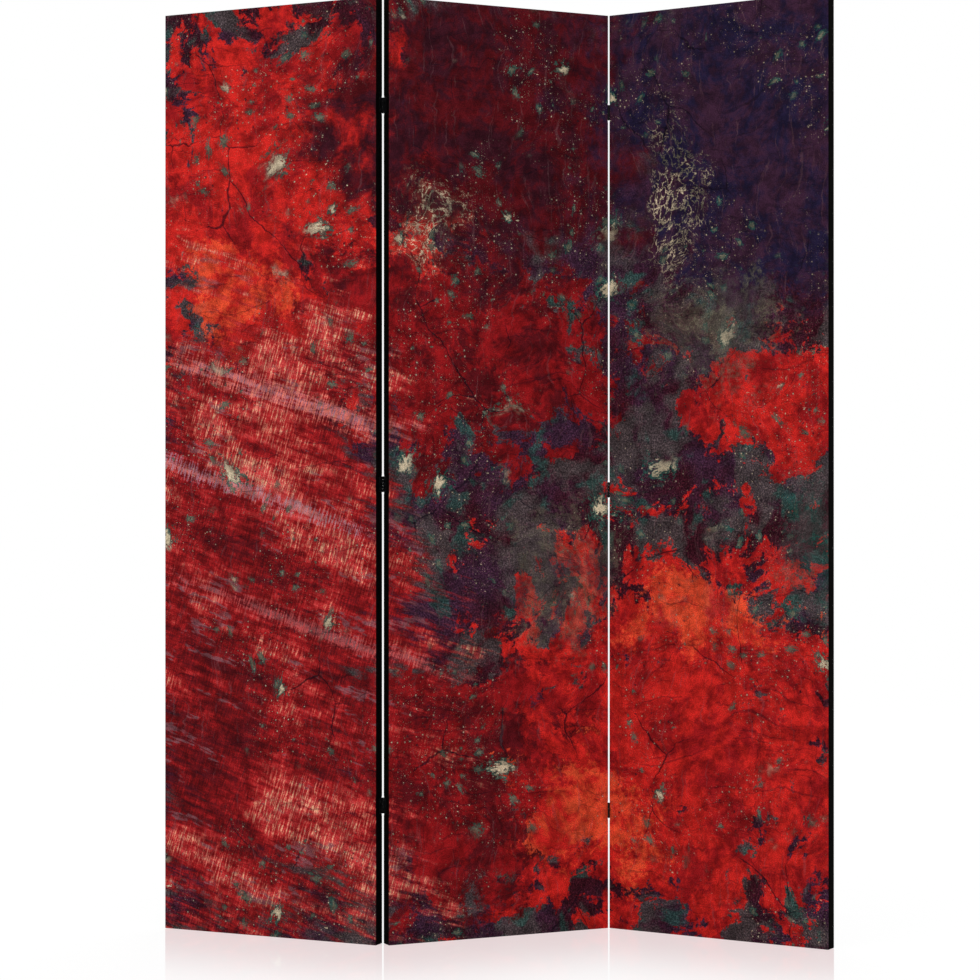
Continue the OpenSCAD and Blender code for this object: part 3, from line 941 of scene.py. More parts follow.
@dataclass(frozen=True)
class RawCanvas(Finish):
    """The unprinted face of the canvas, inside the panel."""

    light: Colour = (0.62, 0.55, 0.43)
    hollow_shade: Colour = (0.44, 0.37, 0.27)
    threads: Triple = (1700.0, 1800.0, 0.0)
    thread_height: float = 0.2 * MM

    def draw(self, graph: Graph) -> dict[str, object]:
        """Draws slubbed cotton threads, with painted shade in the weave's hollows.

        Args:
            graph: The material's graph.

        Returns:
            What the shader's inputs get, by their names.
        """
        flat = graph.map("Print")
        weave = graph.mask(WEAVE, Vector=flat, Threads=self.threads)
        slub = graph.mask(CLOUD, Vector=flat, Scale=240.0, Stretch_X=0.1, Low=0.4, High=0.7)
        # Painted shade: the weave's hollows take the darker colour and its crests the lighter one
        colour = graph.mix(weave, self.hollow_shade, self.light)
        return {
            "Base Color": graph.mix(graph.times(slub, 0.4), colour, self.light),
            "Roughness": graph.blend(slub, 0.85, 0.95),
            "Normal": graph.bump(weave, self.thread_height, 0.6),
        }


@dataclass(frozen=True)
class FeltCloth(Finish):
    """Black bonded cloth on the back, with matted fibres and a little lint."""

    base: Colour = (0.0085, 0.0085, 0.0092)
    lint: Colour = (0.11, 0.107, 0.10)
    dimples: Triple = (300.0, 300.0, 0.0)
    dimple_depth: float = 0.4 * MM
    fibre_height: float = 0.3 * MM
    specular: float = 0.20
    sheen: float = 0.08

    def draw(self, graph: Graph) -> dict[str, object]:
        """Draws fibres, pressed dimples with painted shade in their hollows and a painted highlight on their
        rises, and lint.

        Args:
            graph: The material's graph.

        Returns:
            What the shader's inputs get, by their names.
        """
        flat = graph.map("Print")
        swirl = graph.mask(WARP, Vector=flat, Scale=60.0, Amount=0.012)
        layers = [
            graph.mask(CLOUD, Vector=swirl, Scale=420.0, Roughness=0.75, Low=0.44, High=0.66, **along)
            for along in ({"Stretch_X": 0.16}, {"Stretch_Y": 0.14, "Seed": 5.0})
        ]
        mat = graph.calc("MAXIMUM", *layers)
        cloud = graph.mask(CLOUD, Vector=flat, Scale=14.0, Roughness=0.78, Low=0.34, High=0.66, Seed=2.0)
        light = graph.mix(cloud, tone(self.base, 1.5), tone(self.base, 2.9))
        dimples = graph.mask(WEAVE, Vector=flat, Threads=self.dimples)
        # Painted shade and highlight: the colour is darkened to 0.70 in the dimples' hollows and lightened to
        # 1.15 on their rises
        colour = graph.scaled(graph.mix(mat, self.base, light), graph.blend(dimples, 0.70, 1.15))
        strewn = graph.stretched(swirl, 1.0, 0.5)
        lint = graph.mask(SPOTS, Vector=strewn, Scale=70.0, Radius=0.05, Share=0.30, Ragged=3.0)
        loose = graph.calc("MAXIMUM", lint, graph.mask(DUST, Vector=flat, Scale=700.0, Low=0.68))
        soft = graph.bump(dimples, self.dimple_depth, 0.55)
        return {
            "Base Color": graph.mix(graph.times(loose, 0.45), colour, self.lint),
            "Normal": graph.bump(mat, self.fibre_height, 0.7, under=soft),
            "Roughness": graph.blend(mat, 0.82, 0.98),
            "Specular IOR Level": self.specular,
            "Sheen Weight": self.sheen,
        }


@dataclass(frozen=True)
class Timber(Finish):
    """Planed softwood or hardwood, its grain along one axis of the panel."""

    early: Colour = (0.60, 0.40, 0.21)
    late: Colour = (0.34, 0.17, 0.07)
    dust: Colour = (0.7, 0.58, 0.42)
    axis: GrainAxis = GrainAxis.UPRIGHT
    yaw: float = 0.0
    rings: float = 330.0
    fibre: float = 900.0
    fibre_height: float = 0.2 * MM
    specular: float = 0.35

    def draw(self, graph: Graph) -> dict[str, object]:
        """Draws growth rings, fibres and a few knots.

        Args:
            graph: The material's graph.

        Returns:
            What the shader's inputs get, by their names.
        """
        own = graph.node("TexCoord").outputs["Object"]
        wires = {"Vector": own, "Angle": -self.yaw}
        turned = graph.node("VectorRotate", wires, rotation_type="Z_AXIS").outputs[0]
        if self.axis is GrainAxis.ACROSS:
            parts = graph.parts(turned)
            turned = graph.joined(parts[2], parts[1], parts[0])
        seed = graph.node("ObjectInfo").outputs["Random"]
        each = graph.times(seed, 0.7)
        bar = graph.vector("ADD", turned, graph.joined(each, graph.times(seed, 0.13), each))
        late, fibre = graph.effect(GRAIN, Vector=bar, Rings=self.rings, Fibre=self.fibre)[:2]
        colour = graph.mix(graph.times(late, 0.75), self.early, self.late)
        colour = graph.mix(graph.times(graph.step(fibre, 0.35, 0.75), 0.35), colour, self.late)
        along = graph.parts(graph.stretched(bar, 1.0, 1.0, 0.45))
        strewn = graph.joined(along[0], along[2])
        knots = graph.mask(SPOTS, Vector=strewn, Scale=9.0, Radius=0.10, Share=0.5, Ragged=0.5)
        colour = graph.mix(graph.times(knots, 0.7), colour, tone(self.late, 0.45))
        dust = graph.mask(DUST, Vector=own, Scale=500.0, Low=0.62)
        return {
            "Base Color": graph.mix(graph.times(dust, 0.25), colour, self.dust),
            "Roughness": graph.blend(late, 0.72, 0.55),
            "Normal": graph.bump(fibre, self.fibre_height, 0.5),
            "Specular IOR Level": self.specular,
        }


@dataclass(frozen=True)
class Steel(Finish):
    """Plated or painted steel, rubbed at its edges."""

    base: Colour = (0.0035, 0.0035, 0.0037)
    worn: Colour = (0.03, 0.03, 0.031)
    metallic: float = 0.0
    roughness: Flat = (0.38, 0.58)
    spangle: float = 600.0
    wear: float = 0.12
    specular: float = 0.08
    dust: float = 0.03
    scratch_depth: float = 0.04 * MM

    def draw(self, graph: Graph) -> dict[str, object]:
        """Draws the plating's spangle, edge wear and fine scratches.

        Args:
            graph: The material's graph.

        Returns:
            What the shader's inputs get, by their names.
        """
        own = graph.node("TexCoord").outputs["Object"]
        cells = graph.node("TexVoronoi", {"Vector": own, "Scale": self.spangle}).outputs["Color"]
        haze = graph.noise(own, 240.0, 3.0, 0.65, solid=True)
        colour = graph.mix(graph.times(graph.parts(cells)[0], 0.6), self.base, tone(self.base, 0.72))
        rubbed = graph.mask(WEAR, Vector=own, Scale=700.0, Break=0.12, Low=0.53, High=0.60)
        colour = graph.mix(graph.times(rubbed, self.wear), colour, self.worn)
        dust = graph.mask(DUST, Vector=own, Scale=1500.0, Low=0.66)
        scratch = graph.noise(graph.stretched(own, 1.0, 1.0, 0.08), 2200.0, 2.0, 0.6, solid=True)
        return {
            "Base Color": graph.mix(graph.times(dust, self.dust), colour, self.worn),
            "Roughness": graph.blend(haze, *self.roughness),
            "Metallic": self.metallic,
            "Specular IOR Level": self.specular,
            "Normal": graph.bump(scratch, self.scratch_depth, 0.4),
        }


PRINT = PrintedCanvas("Printed canvas")
BORDER = BlackBorder("Black canvas border")
RAW = RawCanvas("Unprinted canvas")
FELT = FeltCloth("Black back cloth")
LEAF_STEEL = Steel("Black hinge steel")
PIN_STEEL = Steel("Blackened pin", base=(0.006, 0.006, 0.007), roughness=(0.30, 0.48), specular=0.15)
SCREW_STEEL = Steel(
    "Blackened screws", base=(0.005, 0.005, 0.006), roughness=(0.32, 0.52), wear=0.2, specular=0.15
)
BRIGHT_STEEL = Steel(
    "Galvanised wire", base=(0.52, 0.53, 0.55), worn=(0.74, 0.74, 0.75), metallic=1.0,
    roughness=(0.26, 0.46), spangle=420.0, wear=0.4, specular=0.5, dust=0.1,
)


def rounded_stops(length: float, radius: float, steps: int, between: Iterable[float]) -> list[float]:
    """Lattice places from 0 to a length, close together through both rounded edges.

    Args:
        length: Where the last place is.
        radius: Radius of both rounded edges.
        steps: Places in half a rounded edge.
        between: The places between the rounded edges, in order.

    Returns:
        All the places, in order.
    """
    turn = [radius * (1 - math.tan(math.radians(45 * k / steps))) for k in range(steps, -1, -1)]
    return turn + list(between) + [length - place for place in reversed(turn)]


def evenly(low: float, high: float, pitch: float) -> list[float]:
    """Even places strictly between two ends, about a pitch apart."""
    gaps = max(1, round((high - low) / pitch))
    return [low + (high - low) * k / gaps for k in range(1, gaps)]


def ring_round(across: Sequence[int], up: Sequence[int]) -> list[tuple[int, int]]:
    """Lattice numbers once round a rectangle.

    Args:
        across: First and last number across.
        up: First and last number up.

    Returns:
        Both numbers of each place, in order.
    """
    (left, right), (low, high) = across, up
    ring = [(i, low) for i in range(left, right)] + [(right, k) for k in range(low, high)]
    return ring + [(i, high) for i in range(right, left, -1)] + [(left, k) for k in range(high, low, -1)]


def step_down(place: float, edge: float, ease: Flat) -> float:
    """1 well before an edge, falling smoothly to 0 past it.

    Args:
        place: Distance along.
        edge: Distance of the edge.
        ease: How far past the edge the fall's middle lies, and how soft the fall is.

    Returns:
        A share from 0 to 1.
    """
    return 1 / (1 + math.exp((place - edge - ease[0]) / ease[1]))


def add(name: str, data: bpy.types.ID) -> bpy.types.Object:
    """Adds an object to the scene.

    Args:
        name: The object's name.
        data: Its mesh, lamp or camera.

    Returns:
        The new object, at the origin.
    """
    made = bpy.data.objects.new(name, data)
    bpy.context.scene.collection.objects.link(made)
    return made


@dataclass
class MeshPlan:
    """Points, faces and maps of a mesh while it is made."""

    points: list[Vector] = field(default_factory=list)
    faces: list[tuple[int, ...]] = field(default_factory=list)
    slots: list[int] = field(default_factory=list)
    maps: dict[str, list[Flat]] = field(default_factory=dict)

    def point(self, place: Vector) -> int:
        """Adds a point and gives its number."""
        self.points.append(place)
        return len(self.points) - 1

    def face(self, corners: Sequence[int], slot: int = 0, **maps: Sequence[Flat]) -> None:
        """Adds a face.

        Args:
            corners: Numbers of its points, in order.
            slot: Number of its material.
            **maps: For each map, the place of each corner.
        """
        self.faces.append(tuple(corners))
        self.slots.append(slot)
        for name, places in maps.items():
            self.maps.setdefault(name, []).extend(places)

    def band(
        self, ring: Sequence[Key], sides: Sequence[dict[Key, int]], places: dict[Key, Flat], columns: Flat,
        slot: int = 0, **maps: Sequence[Flat],
    ) -> None:
        """Joins two layers along a closed row of points.

        Args:
            ring: Keys of the points, in order.
            sides: Numbers of both layers' points, by key.
            places: Where the keys are in the Print map.
            columns: Both sides of the band in the OFBake map.
            slot: Number of its material.
            **maps: For each other map, the place of each corner of every face.
        """
        near, far = sides
        left, right = columns
        for n, (a, b) in enumerate(zip(ring, [*ring[1:], ring[0]])):
            low, high = n / len(ring), (n + 1) / len(ring)
            self.face(
                (near[a], near[b], far[b], far[a]), slot,
                Print=[places[key] for key in (a, b, b, a)],
                OFBake=[(left, low), (left, high), (right, high), (right, low)],
                **maps,
            )

    def mesh(self, name: str, *finishes: bpy.types.Material) -> bpy.types.Mesh:
        """Makes the mesh, smooth, with its maps and materials.

        Args:
            name: The mesh's name.
            *finishes: The material of each slot.

        Returns:
            The new mesh.
        """
        made = bpy.data.meshes.new(name)
        made.from_pydata([tuple(point) for point in self.points], [], self.faces)
        for label, places in self.maps.items():
            layer = made.uv_layers.new(name=label)
            layer.data.foreach_set("uv", [part for place in places for part in place])
        for finish in finishes:
            made.materials.append(finish)
        made.polygons.foreach_set("material_index", self.slots)
        made.polygons.foreach_set("use_smooth", [True] * len(self.faces))
        made.update()
        return made

    def stand(self, name: str, label: str, place: PanelPlace, *finishes: Finish) -> bpy.types.Object:
        """Makes the mesh in a panel's own frame and puts it where the panel stands.

        Args:
            name: The object's name.
            label: The mesh's name.
            place: The panel.
            *finishes: The finish of each slot.

        Returns:
            The new object, at the origin, with its place in its mesh.
        """
        mesh = self.mesh(label, *(finish.material() for finish in finishes))
        mesh.transform(place.matrix())
        mesh.update()
        return add(name, mesh)


@dataclass(frozen=True)
class CornerFold:
    """The canvas tucked over itself at a corner: it lies on the end face and runs round onto the back."""

    start: float = 2.2 * MM
    from_side: float = 0.9 * MM
    narrow: float = 1.2 * MM
    widening: float = 21.5 * MM
    spread: float = 1.15
    sink: float = 0.02 * MM
    lift: float = 0.4 * MM
    end_cells: int = 10
    turn_cells: int = 5
    back_cells: int = 3
    back_cell: float = 3.0 * MM
    profile: tuple[Flat, ...] = ((0.0, 0.0), (0.02, 0.7), (0.08, 1.0), (0.5, 1.0), (0.9, 0.8), (1.0, 0.0))
    border: Flat = (0.02, 0.0)
    print_share: float = 0.1
    print_shift: float = 3.0
    bake_corner: Flat = (0.904, 0.02)
    bake_shift: Flat = (0.016, 0.49)
    bake_cell: Flat = (0.001, 0.02)

    def path(self) -> list[Triple]:
        """Middle of the fold from the front to the back.

        Returns:
            Distance from the front, angle round the back edge and distance down the back, for each row.
        """
        reach = SIZE.depth - SIZE.edge_radius
        run = reach - self.start
        rows = [(self.start + run * k / self.end_cells, 0.0, 0.0) for k in range(self.end_cells + 1)]
        rows += [(reach, math.radians(90 * k / self.turn_cells), 0.0) for k in range(1, self.turn_cells + 1)]
        return rows + [(reach, math.pi / 2, self.back_cell * k) for k in range(1, self.back_cells + 1)]

    def spots(self, right: bool, top: bool) -> Iterator[tuple[Key, Vector]]:
        """Points of the fold.

        Args:
            right: Whether the corner is on the right.
            top: Whether the corner is at the top.

        Yields:
            A key of row, column and layer, and the point's place in the panel's frame.
        """
        turn = SIZE.edge_radius
        for n, (along, angle, down) in enumerate(self.path()):
            run = (along - self.start) / (SIZE.depth - turn - self.start)
            width = self.narrow + self.widening * min(1.0, run) ** self.spread
            for k, (share, height) in enumerate(self.profile):
                x = self.from_side + width * share
                for layer, out in enumerate((self.sink, self.lift * height * min(1.0, 0.25 + 3 * run))):
                    radius = turn + out
                    y = along + radius * math.sin(angle)
                    z = SIZE.height - turn + radius * math.cos(angle) - down
                    here = Vector((SIZE.width - x if right else x, y, z if top else SIZE.height - z))
                    yield (n, k, layer), here

    def cells(self) -> Iterator[tuple[list[Key], bool, int, int]]:
        """Faces of the fold: its two layers, its sides and its ends.

        Yields:
            Keys of the corners, whether they are turned over, and row and column in the bake's layout.
        """
        rows, columns = len(self.path()), len(self.profile)
        for n in range(rows - 1):
            for k in range(columns - 1):
                for layer in (1, 0):
                    keys = [(n + dn, k + dk, layer) for dk, dn in SQUARE]
                    yield keys, layer == 0, n, k + (0 if layer else columns)
            for k, over in ((0, False), (columns - 1, True)):
                yield [(n + dn, k, layer) for layer, dn in SQUARE], over, n, 2 * columns + over
        for n, over in ((0, True), (rows - 1, False)):
            for k in range(columns - 1):
                yield [(n, k + dk, layer) for dk, layer in SQUARE], over, rows + over, k

    def build(self, plan: MeshPlan, right: bool, top: bool) -> None:
        """Adds the fold at one corner, with its own place in the bake's layout.

        Args:
            plan: The canvas so far.
            right: Whether the corner is on the right.
            top: Whether the corner is at the top.
        """
        numbers = {key: plan.point(here) for key, here in self.spots(right, top)}
        layout = zip(self.bake_corner, self.bake_shift, (right, top))
        left, low = (corner + shift * far for corner, shift, far in layout)
        wide, tall = self.bake_cell
        for keys, over, n, k in self.cells():
            if over != (right != top):
                keys.reverse()
            corners = [numbers[key] for key in keys]
            places = [plan.points[number] for number in corners]
            aside = [(here.x * self.print_share + self.print_shift, here.y) for here in places]
            bake = [(left + wide * (k + dk), low + tall * (n + dn)) for dk, dn in SQUARE]
            plan.face(corners, Face.BORDER, Print=aside, Border=[self.border] * 4, OFBake=bake)


@dataclass
class PrintedSheet:
    """The printed canvas of one panel: drawn tight over the front and turned onto the back."""

    place: PanelPlace
    turn_steps: int = 3
    cell: float = 22 * MM
    side_cells: int = 5
    return_cells: int = 4
    slack: float = 0.22 * MM
    taut_rim: float = 5 * MM
    slack_run: float = 38 * MM
    fullness: float = 0.5 * MM
    eased_length: float = 3 * MM
    leaf_steps: tuple[float, ...] = (1.0 * MM, 2.2 * MM, 3.5 * MM, 4.8 * MM, 6.0 * MM)
    bake_side: float = 0.6
    bake_back: float = 0.15
    bake_outer: float = 0.90
    bake_inner: float = 0.05
    bake_rim: Flat = (0.940, 0.945)
    rim_border: Flat = (0.05, 0.0)
    plan: MeshPlan = field(default_factory=MeshPlan)

    @property
    def start(self) -> float:
        """Where the panel's front begins in the print, which runs on from panel to panel."""
        return self.place.panel.order * (SIZE.width + SIZE.joint_gap)

    @cached_property
    def stops(self) -> tuple[list[float], ...]:
        """Lattice places across, through and up the panel.

        Returns:
            The places along each axis, in order.
        """
        turn = SIZE.edge_radius
        rows = (
            self.field_stops(SIZE.width),
            evenly(turn, SIZE.depth - turn, (SIZE.depth - 2 * turn) / self.side_cells),
            sorted({*self.field_stops(SIZE.height), *self.leaf_stops()}),
        )
        return tuple(rounded_stops(length, turn, self.turn_steps, row) for length, row in zip(SIZE.box, rows))

    def leaf_stops(self) -> list[float]:
        """Places up the panel just above and below its hinge leaves, where the canvas is pressed in."""
        spans = [*self.place.leaves(False), *self.place.leaves(True)]
        return [end for low, high in spans for step in self.leaf_steps for end in (low - step, high + step)]

    def field_stops(self, length: float) -> list[float]:
        """Places between two rounded edges, with one at the raw edge of each return.

        Args:
            length: Size of the panel along them.

        Returns:
            The places, in order.
        """
        turn, back = SIZE.edge_radius, SIZE.canvas_return
        near = evenly(turn, back, (back - turn) / self.return_cells)
        far = [length - place for place in reversed(near)]
        return [*near, back, *evenly(back, length - back, self.cell), length - back, *far]

    def tension(self, x: float, z: float) -> float:
        """How far the drawn canvas dips behind the front's plane.

        Args:
            x: Place across the panel.
            z: Place up the panel.

        Returns:
            The depth of the dip.
        """
        dip = 1 - math.exp(-max(0.0, SIZE.from_edge(x, z) - self.taut_rim) / self.slack_run)
        wave = 0.5 + 0.25 * math.sin(9.1 * x + 3.3 * z) + 0.25 * math.sin(5.3 * z - 12.7 * x + 1.9)
        return self.slack * dip * wave

    def side_swell(self, raw: Sequence[float]) -> float:
        """How far the canvas stands off a bar's side, where no hinge leaf presses it flat.

        Args:
            raw: A place in the lattice.

        Returns:
            The distance, below 0 on the panel's left side.
        """
        right = raw[0] > SIZE.width / 2
        edge = SIZE.width - raw[0] if right else raw[0]
        away = min((max(low - raw[2], raw[2] - high) for low, high in self.place.leaves(right)), default=1.0)
        first, last = self.leaf_steps[0], self.leaf_steps[-1]
        free = min(1.0, max(0.0, (away - first) / (last - first)))
        swell = self.fullness * max(0.0, 1 - edge / SIZE.edge_radius) * free * free * (3 - 2 * free)
        return swell if right else -swell

    def spot(self, key: Key, depth: float) -> Vector:
        """Where a lattice place lies on the canvas.

        Args:
            key: The place's numbers in the lattice.
            depth: Distance inside the outer face.

        Returns:
            The place in the panel's frame.
        """
        turn = SIZE.edge_radius
        raw = [row[number] for row, number in zip(self.stops, key)]
        core = [min(max(place, turn), length - turn) for place, length in zip(raw, SIZE.box)]
        out = Vector([place - inner for place, inner in zip(raw, core)]).normalized()
        here = Vector(core) + out * (turn - depth)
        if key[THROUGH] == 0:
            here.y += self.tension(here.x, here.z)
        if min(raw[0], SIZE.width - raw[0]) < turn:
            here.x += self.side_swell(raw)
        return here

    def cells(self, axis: int, at_end: bool) -> Iterator[list[Key]]:
        """Cells of the lattice's faces, without the window inside the returns.

        Args:
            axis: The axis that the face points along.
            at_end: Whether it faces the axis's far end.

        Yields:
            Keys of a cell's four corners.
        """
        last = [len(row) - 1 for row in self.stops]
        u, v = (other for other in (ACROSS, THROUGH, UP) if other != axis)
        for i in range(last[u]):
            for k in range(last[v]):
                corners = [{axis: last[axis] * at_end, u: i + di, v: k + dk} for di, dk in SQUARE]
                keys = [tuple(corner[number] for number in range(3)) for corner in corners]
                if not (axis == THROUGH and at_end and self.in_window(keys)):
                    yield keys

    def in_window(self, keys: Sequence[Key]) -> bool:
        """Whether a cell of the back lies in the window inside the returns.

        Args:
            keys: Keys of its corners.

        Returns:
            Whether it does.
        """
        x, z = (sum(self.stops[axis][key[axis]] for key in keys) / 4 for axis in (ACROSS, UP))
        back = SIZE.canvas_return
        return back < x < SIZE.width - back and back < z < SIZE.height - back

    def skin(self, depth: float, face: Face) -> dict[Key, int]:
        """Adds one face of the canvas as a rounded box with its back left open.

        Args:
            depth: Distance inside the outer face.
            face: Which face it is.

        Returns:
            Each point's number, by its key in the lattice.
        """
        found: dict[Key, int] = {}
        printed = face is Face.PRINTED
        border_from = SIZE.edge_radius - ROUNDING
        for axis in (ACROSS, THROUGH, UP):
            for at_end in (False, True):
                for keys in self.cells(axis, at_end):
                    if (at_end == (axis != THROUGH)) != printed:
                        keys.reverse()
                    for key in keys:
                        if key not in found:
                            found[key] = self.plan.point(self.spot(key, depth))
                    turned = all(self.stops[THROUGH][key[THROUGH]] >= border_from for key in keys)
                    slot = Face.BORDER if turned and printed else face
                    maps = self.maps_of(axis, at_end, keys, printed)
                    self.plan.face([found[key] for key in keys], slot, **maps)
        return found

    def unrolled(self, axis: int, at_end: bool, centre: Vector, here: Vector) -> Flat:
        """Place of a point on the sheet before it was turned round the frame.

        Args:
            axis: The axis that the face points along.
            at_end: Whether it faces the axis's far end.
            centre: Middle of the face.
            here: The point.

        Returns:
            Distance across and up from the front's lower left corner.
        """
        if axis == THROUGH and not at_end:
            return here.x, here.z
        if axis == ACROSS:
            return (SIZE.width + here.y if at_end else -here.y), here.z
        if axis == UP:
            return here.x, (SIZE.height + here.y if at_end else -here.y)
        to_side = min(centre.x, SIZE.width - centre.x)
        to_end = min(centre.z, SIZE.height - centre.z)
        if to_side <= to_end:
            left = centre.x < SIZE.width / 2
            return (-SIZE.depth - here.x if left else 2 * SIZE.width + SIZE.depth - here.x), here.z
        low = centre.z < SIZE.height / 2
        return here.x, (-SIZE.depth - here.z if low else 2 * SIZE.height + SIZE.depth - here.z)

    def squeezed(self, along: float, length: float) -> float:
        """Share of the way over the bake map for a distance along the flat sheet.

        Args:
            along: Distance from the front's edge, below 0 before it.
            length: Length of the front.

        Returns:
            A share from 0 to 1 that gives the front most of the map.
        """
        side, back = SIZE.depth * self.bake_side, SIZE.canvas_return * self.bake_back
        past = max(-along, along - length, 0.0)
        spent = min(past, SIZE.depth) * self.bake_side + max(0.0, past - SIZE.depth) * self.bake_back
        place = -spent if along < 0 else length + spent if along > length else along
        return (place + side + back) / (length + 2 * (side + back))

    def maps_of(self, axis: int, at_end: bool, keys: Sequence[Key], printed: bool) -> dict[str, list[Flat]]:
        """The maps of one cell: the print in metres, the border's distance and the bake's layout.

        Args:
            axis: The axis that the face points along.
            at_end: Whether it faces the axis's far end.
            keys: Keys of its corners.
            printed: Whether it is on the printed face.

        Returns:
            The place of each corner in each map.
        """
        corners = [Vector([row[number] for row, number in zip(self.stops, key)]) for key in keys]
        centre = sum(corners, Vector()) / len(corners)
        flat = [self.unrolled(axis, at_end, centre, here) for here in corners]
        front = axis == THROUGH and not at_end
        border = [(-SIZE.from_edge(here.x, here.z) if front else here.y, 0.0) for here in corners]
        bake = []
        for u, v in flat:
            share = self.squeezed(u, SIZE.width)
            column = share * self.bake_outer if printed else 1 - self.bake_inner * (1 - share)
            bake.append((column, self.squeezed(v, SIZE.height)))
        return {"Print": [(self.start + u, v) for u, v in flat], "Border": border, "OFBake": bake}

    def rim(self, outer: dict[Key, int], inner: dict[Key, int]) -> None:
        """Closes the raw edge of the returns.

        Args:
            outer: Numbers of the outer face's points, by key.
            inner: Numbers of the inner face's points, by key.
        """
        across, through, up = self.stops
        back = SIZE.canvas_return
        ends = [
            [k for k, place in enumerate(row) if place in (back, length - back)]
            for row, length in ((across, SIZE.width), (up, SIZE.height))
        ]
        ring = [(i, len(through) - 1, k) for i, k in ring_round(*ends)]
        places = {key: (self.start + across[key[0]], up[key[2]]) for key in ring}
        self.plan.band(ring, (outer, inner), places, self.bake_rim, Face.RAW, Border=[self.rim_border] * 4)

    def build(self) -> bpy.types.Object:
        """Returns:
            The canvas's object.
        """
        self.rim(self.skin(0.0, Face.PRINTED), self.skin(SIZE.canvas, Face.RAW))
        for right in (False, True):
            for top in (False, True):
                CornerFold().build(self.plan, right, top)
        panel = self.place.panel
        made = self.plan.stand(
            f"{panel.value}_printed_sheet", f"{panel.value} canvas", self.place, PRINT, RAW, BORDER
        )
        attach(made, panel.body)
        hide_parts(f"{panel.value}_panel_canvas")
        return made


@dataclass
class BackCloth:
    """The cloth over the back of one panel: hemmed, stapled and a little puckered."""

    place: PanelPlace
    cell: float = 9 * MM
    fold_stops: tuple[float, ...] = (0.0, 0.06, 0.2, 0.45, 3, 8, 13, 16.5)
    hem_stops: tuple[float, ...] = (18, 19, 20, 21, 22.5, 24, 27)
    hem_ease: Flat = (1.2 * MM, 0.7 * MM)
    return_ease: Flat = (1.5 * MM, 0.9 * MM)
    doubled_past_hem: float = 0.6 * MM
    pucker: float = 0.5 * MM
    pucker_at: float = 9 * MM
    pucker_run: float = 22 * MM
    pull: float = 0.9 * MM
    pull_at: float = 60 * MM
    pull_run: float = 38 * MM
    draw_in: float = 0.7 * MM
    draw_in_run: float = 16 * MM
    crease: float = 0.12 * MM
    crease_run: float = 1.2 * MM
    sag: float = 1.1 * MM
    rest: float = 4 * MM
    drape: float = 11 * MM
    bake_spans: tuple[Flat, Flat] = ((0.0, 0.80), (0.82, 0.18))
    bake_band: Flat = (0.803, 0.812)

    def near_edge(self, x: float, z: float) -> Flat:
        """Distance from the cloth's nearest edge, and how far between two staples that is.

        Args:
            x: Place across the panel.
            z: Place up the panel.

        Returns:
            The distance in metres, and 0 at a staple to 1 half way between two.
        """
        inset = SIZE.cloth_inset
        to_side = min(x - inset, SIZE.width - inset - x)
        to_end = min(z - inset, SIZE.height - inset - z)
        along, length = (z, SIZE.height) if to_side < to_end else (x, SIZE.width)
        phase = (along - SIZE.staple_corner) / SIZE.staple_run(length)
        return min(to_side, to_end), 0.5 - 0.5 * math.cos(2 * math.pi * phase)

    def off_wood(self, edge: float, z: float) -> float:
        """0 where a bar or a brace lies under the cloth, rising to 1 beyond it.

        Args:
            edge: Distance from the cloth's nearest edge.
            z: Place up the panel.

        Returns:
            A share from 0 to 1.
        """
        from_bar = edge + SIZE.cloth_inset - SIZE.bar
        from_brace = min(abs(z - SIZE.height * share / 3) for share in (1, 2)) - SIZE.bar / 2
        return 1 - math.exp(-max(0.0, min(from_bar, from_brace) - self.rest) / self.drape)

    def height(self, x: float, z: float) -> float:
        """How far the outer face stands behind the back of the canvas's returns.

        Args:
            x: Place across the panel.
            z: Place up the panel.

        Returns:
            The distance, below 0 where the cloth sags inside them.
        """
        edge, between = self.near_edge(x, z)
        two, one = 2 * SIZE.cloth, SIZE.cloth
        hem = step_down(edge, SIZE.cloth_hem, self.hem_ease)
        raw = step_down(edge, SIZE.canvas_return - SIZE.cloth_inset, self.return_ease)
        base = one + (two - one) * hem - SIZE.canvas * (1 - raw)
        free = self.off_wood(edge, z)
        lazy = 0.5 + 0.3 * math.sin(11 * x + 4.1 * z) + 0.2 * math.sin(17 * z - 6 * x + 0.7)
        fall = self.sag * free * lazy
        ripple = self.pucker * between * math.exp(-abs(edge - self.pucker_at) / self.pucker_run)
        pull = self.pull * (0.5 - between) * math.exp(-(((edge - self.pull_at) / self.pull_run) ** 2))
        if pull < 0:
            pull *= free
        crease = self.crease * hem * math.exp(-abs(abs(x - z) % SIZE.height) / self.crease_run)
        return base - fall + ripple + pull + crease

    def stops(self, length: float) -> list[float]:
        """Lattice places along one side, close together at the folded edge and the hem.

        Args:
            length: Size of the panel along that side.

        Returns:
            The places, in order.
        """
        first, last = SIZE.cloth_inset, length - SIZE.cloth_inset
        steps = [step * MM for step in (*self.fold_stops, *self.hem_stops)]
        near, far = [first + step for step in steps], [last - step for step in reversed(steps)]
        return [*near, *evenly(near[-1], far[0], self.cell), *far]

    def thickness(self, edge: float) -> Flat:
        """How thick the cloth is, with a rounded fold at its edge.

        Args:
            edge: Distance from the folded edge.

        Returns:
            The share of its thickness that it has there, and the thickness of its layers.
        """
        turn = min(1.0, edge / SIZE.cloth)
        doubled = edge < SIZE.cloth_hem + self.doubled_past_hem
        return math.sqrt(max(0.0, 1 - (1 - turn) ** 2)), (2 if doubled else 1) * SIZE.cloth

    def spot(self, x: float, z: float, outer: bool) -> Vector:
        """Where a lattice place lies on one face of the cloth.

        Args:
            x: Place across the panel.
            z: Place up the panel.
            outer: Whether it is on the outer face.

        Returns:
            The place in the panel's frame.
        """
        edge, between = self.near_edge(x, z)
        share, layers = self.thickness(edge)
        rise = layers / 2 * share * (1 if outer else -1)
        inward = self.draw_in * between * math.exp(-edge / self.draw_in_run)
        nearest = edge + SIZE.cloth_inset + ROUNDING

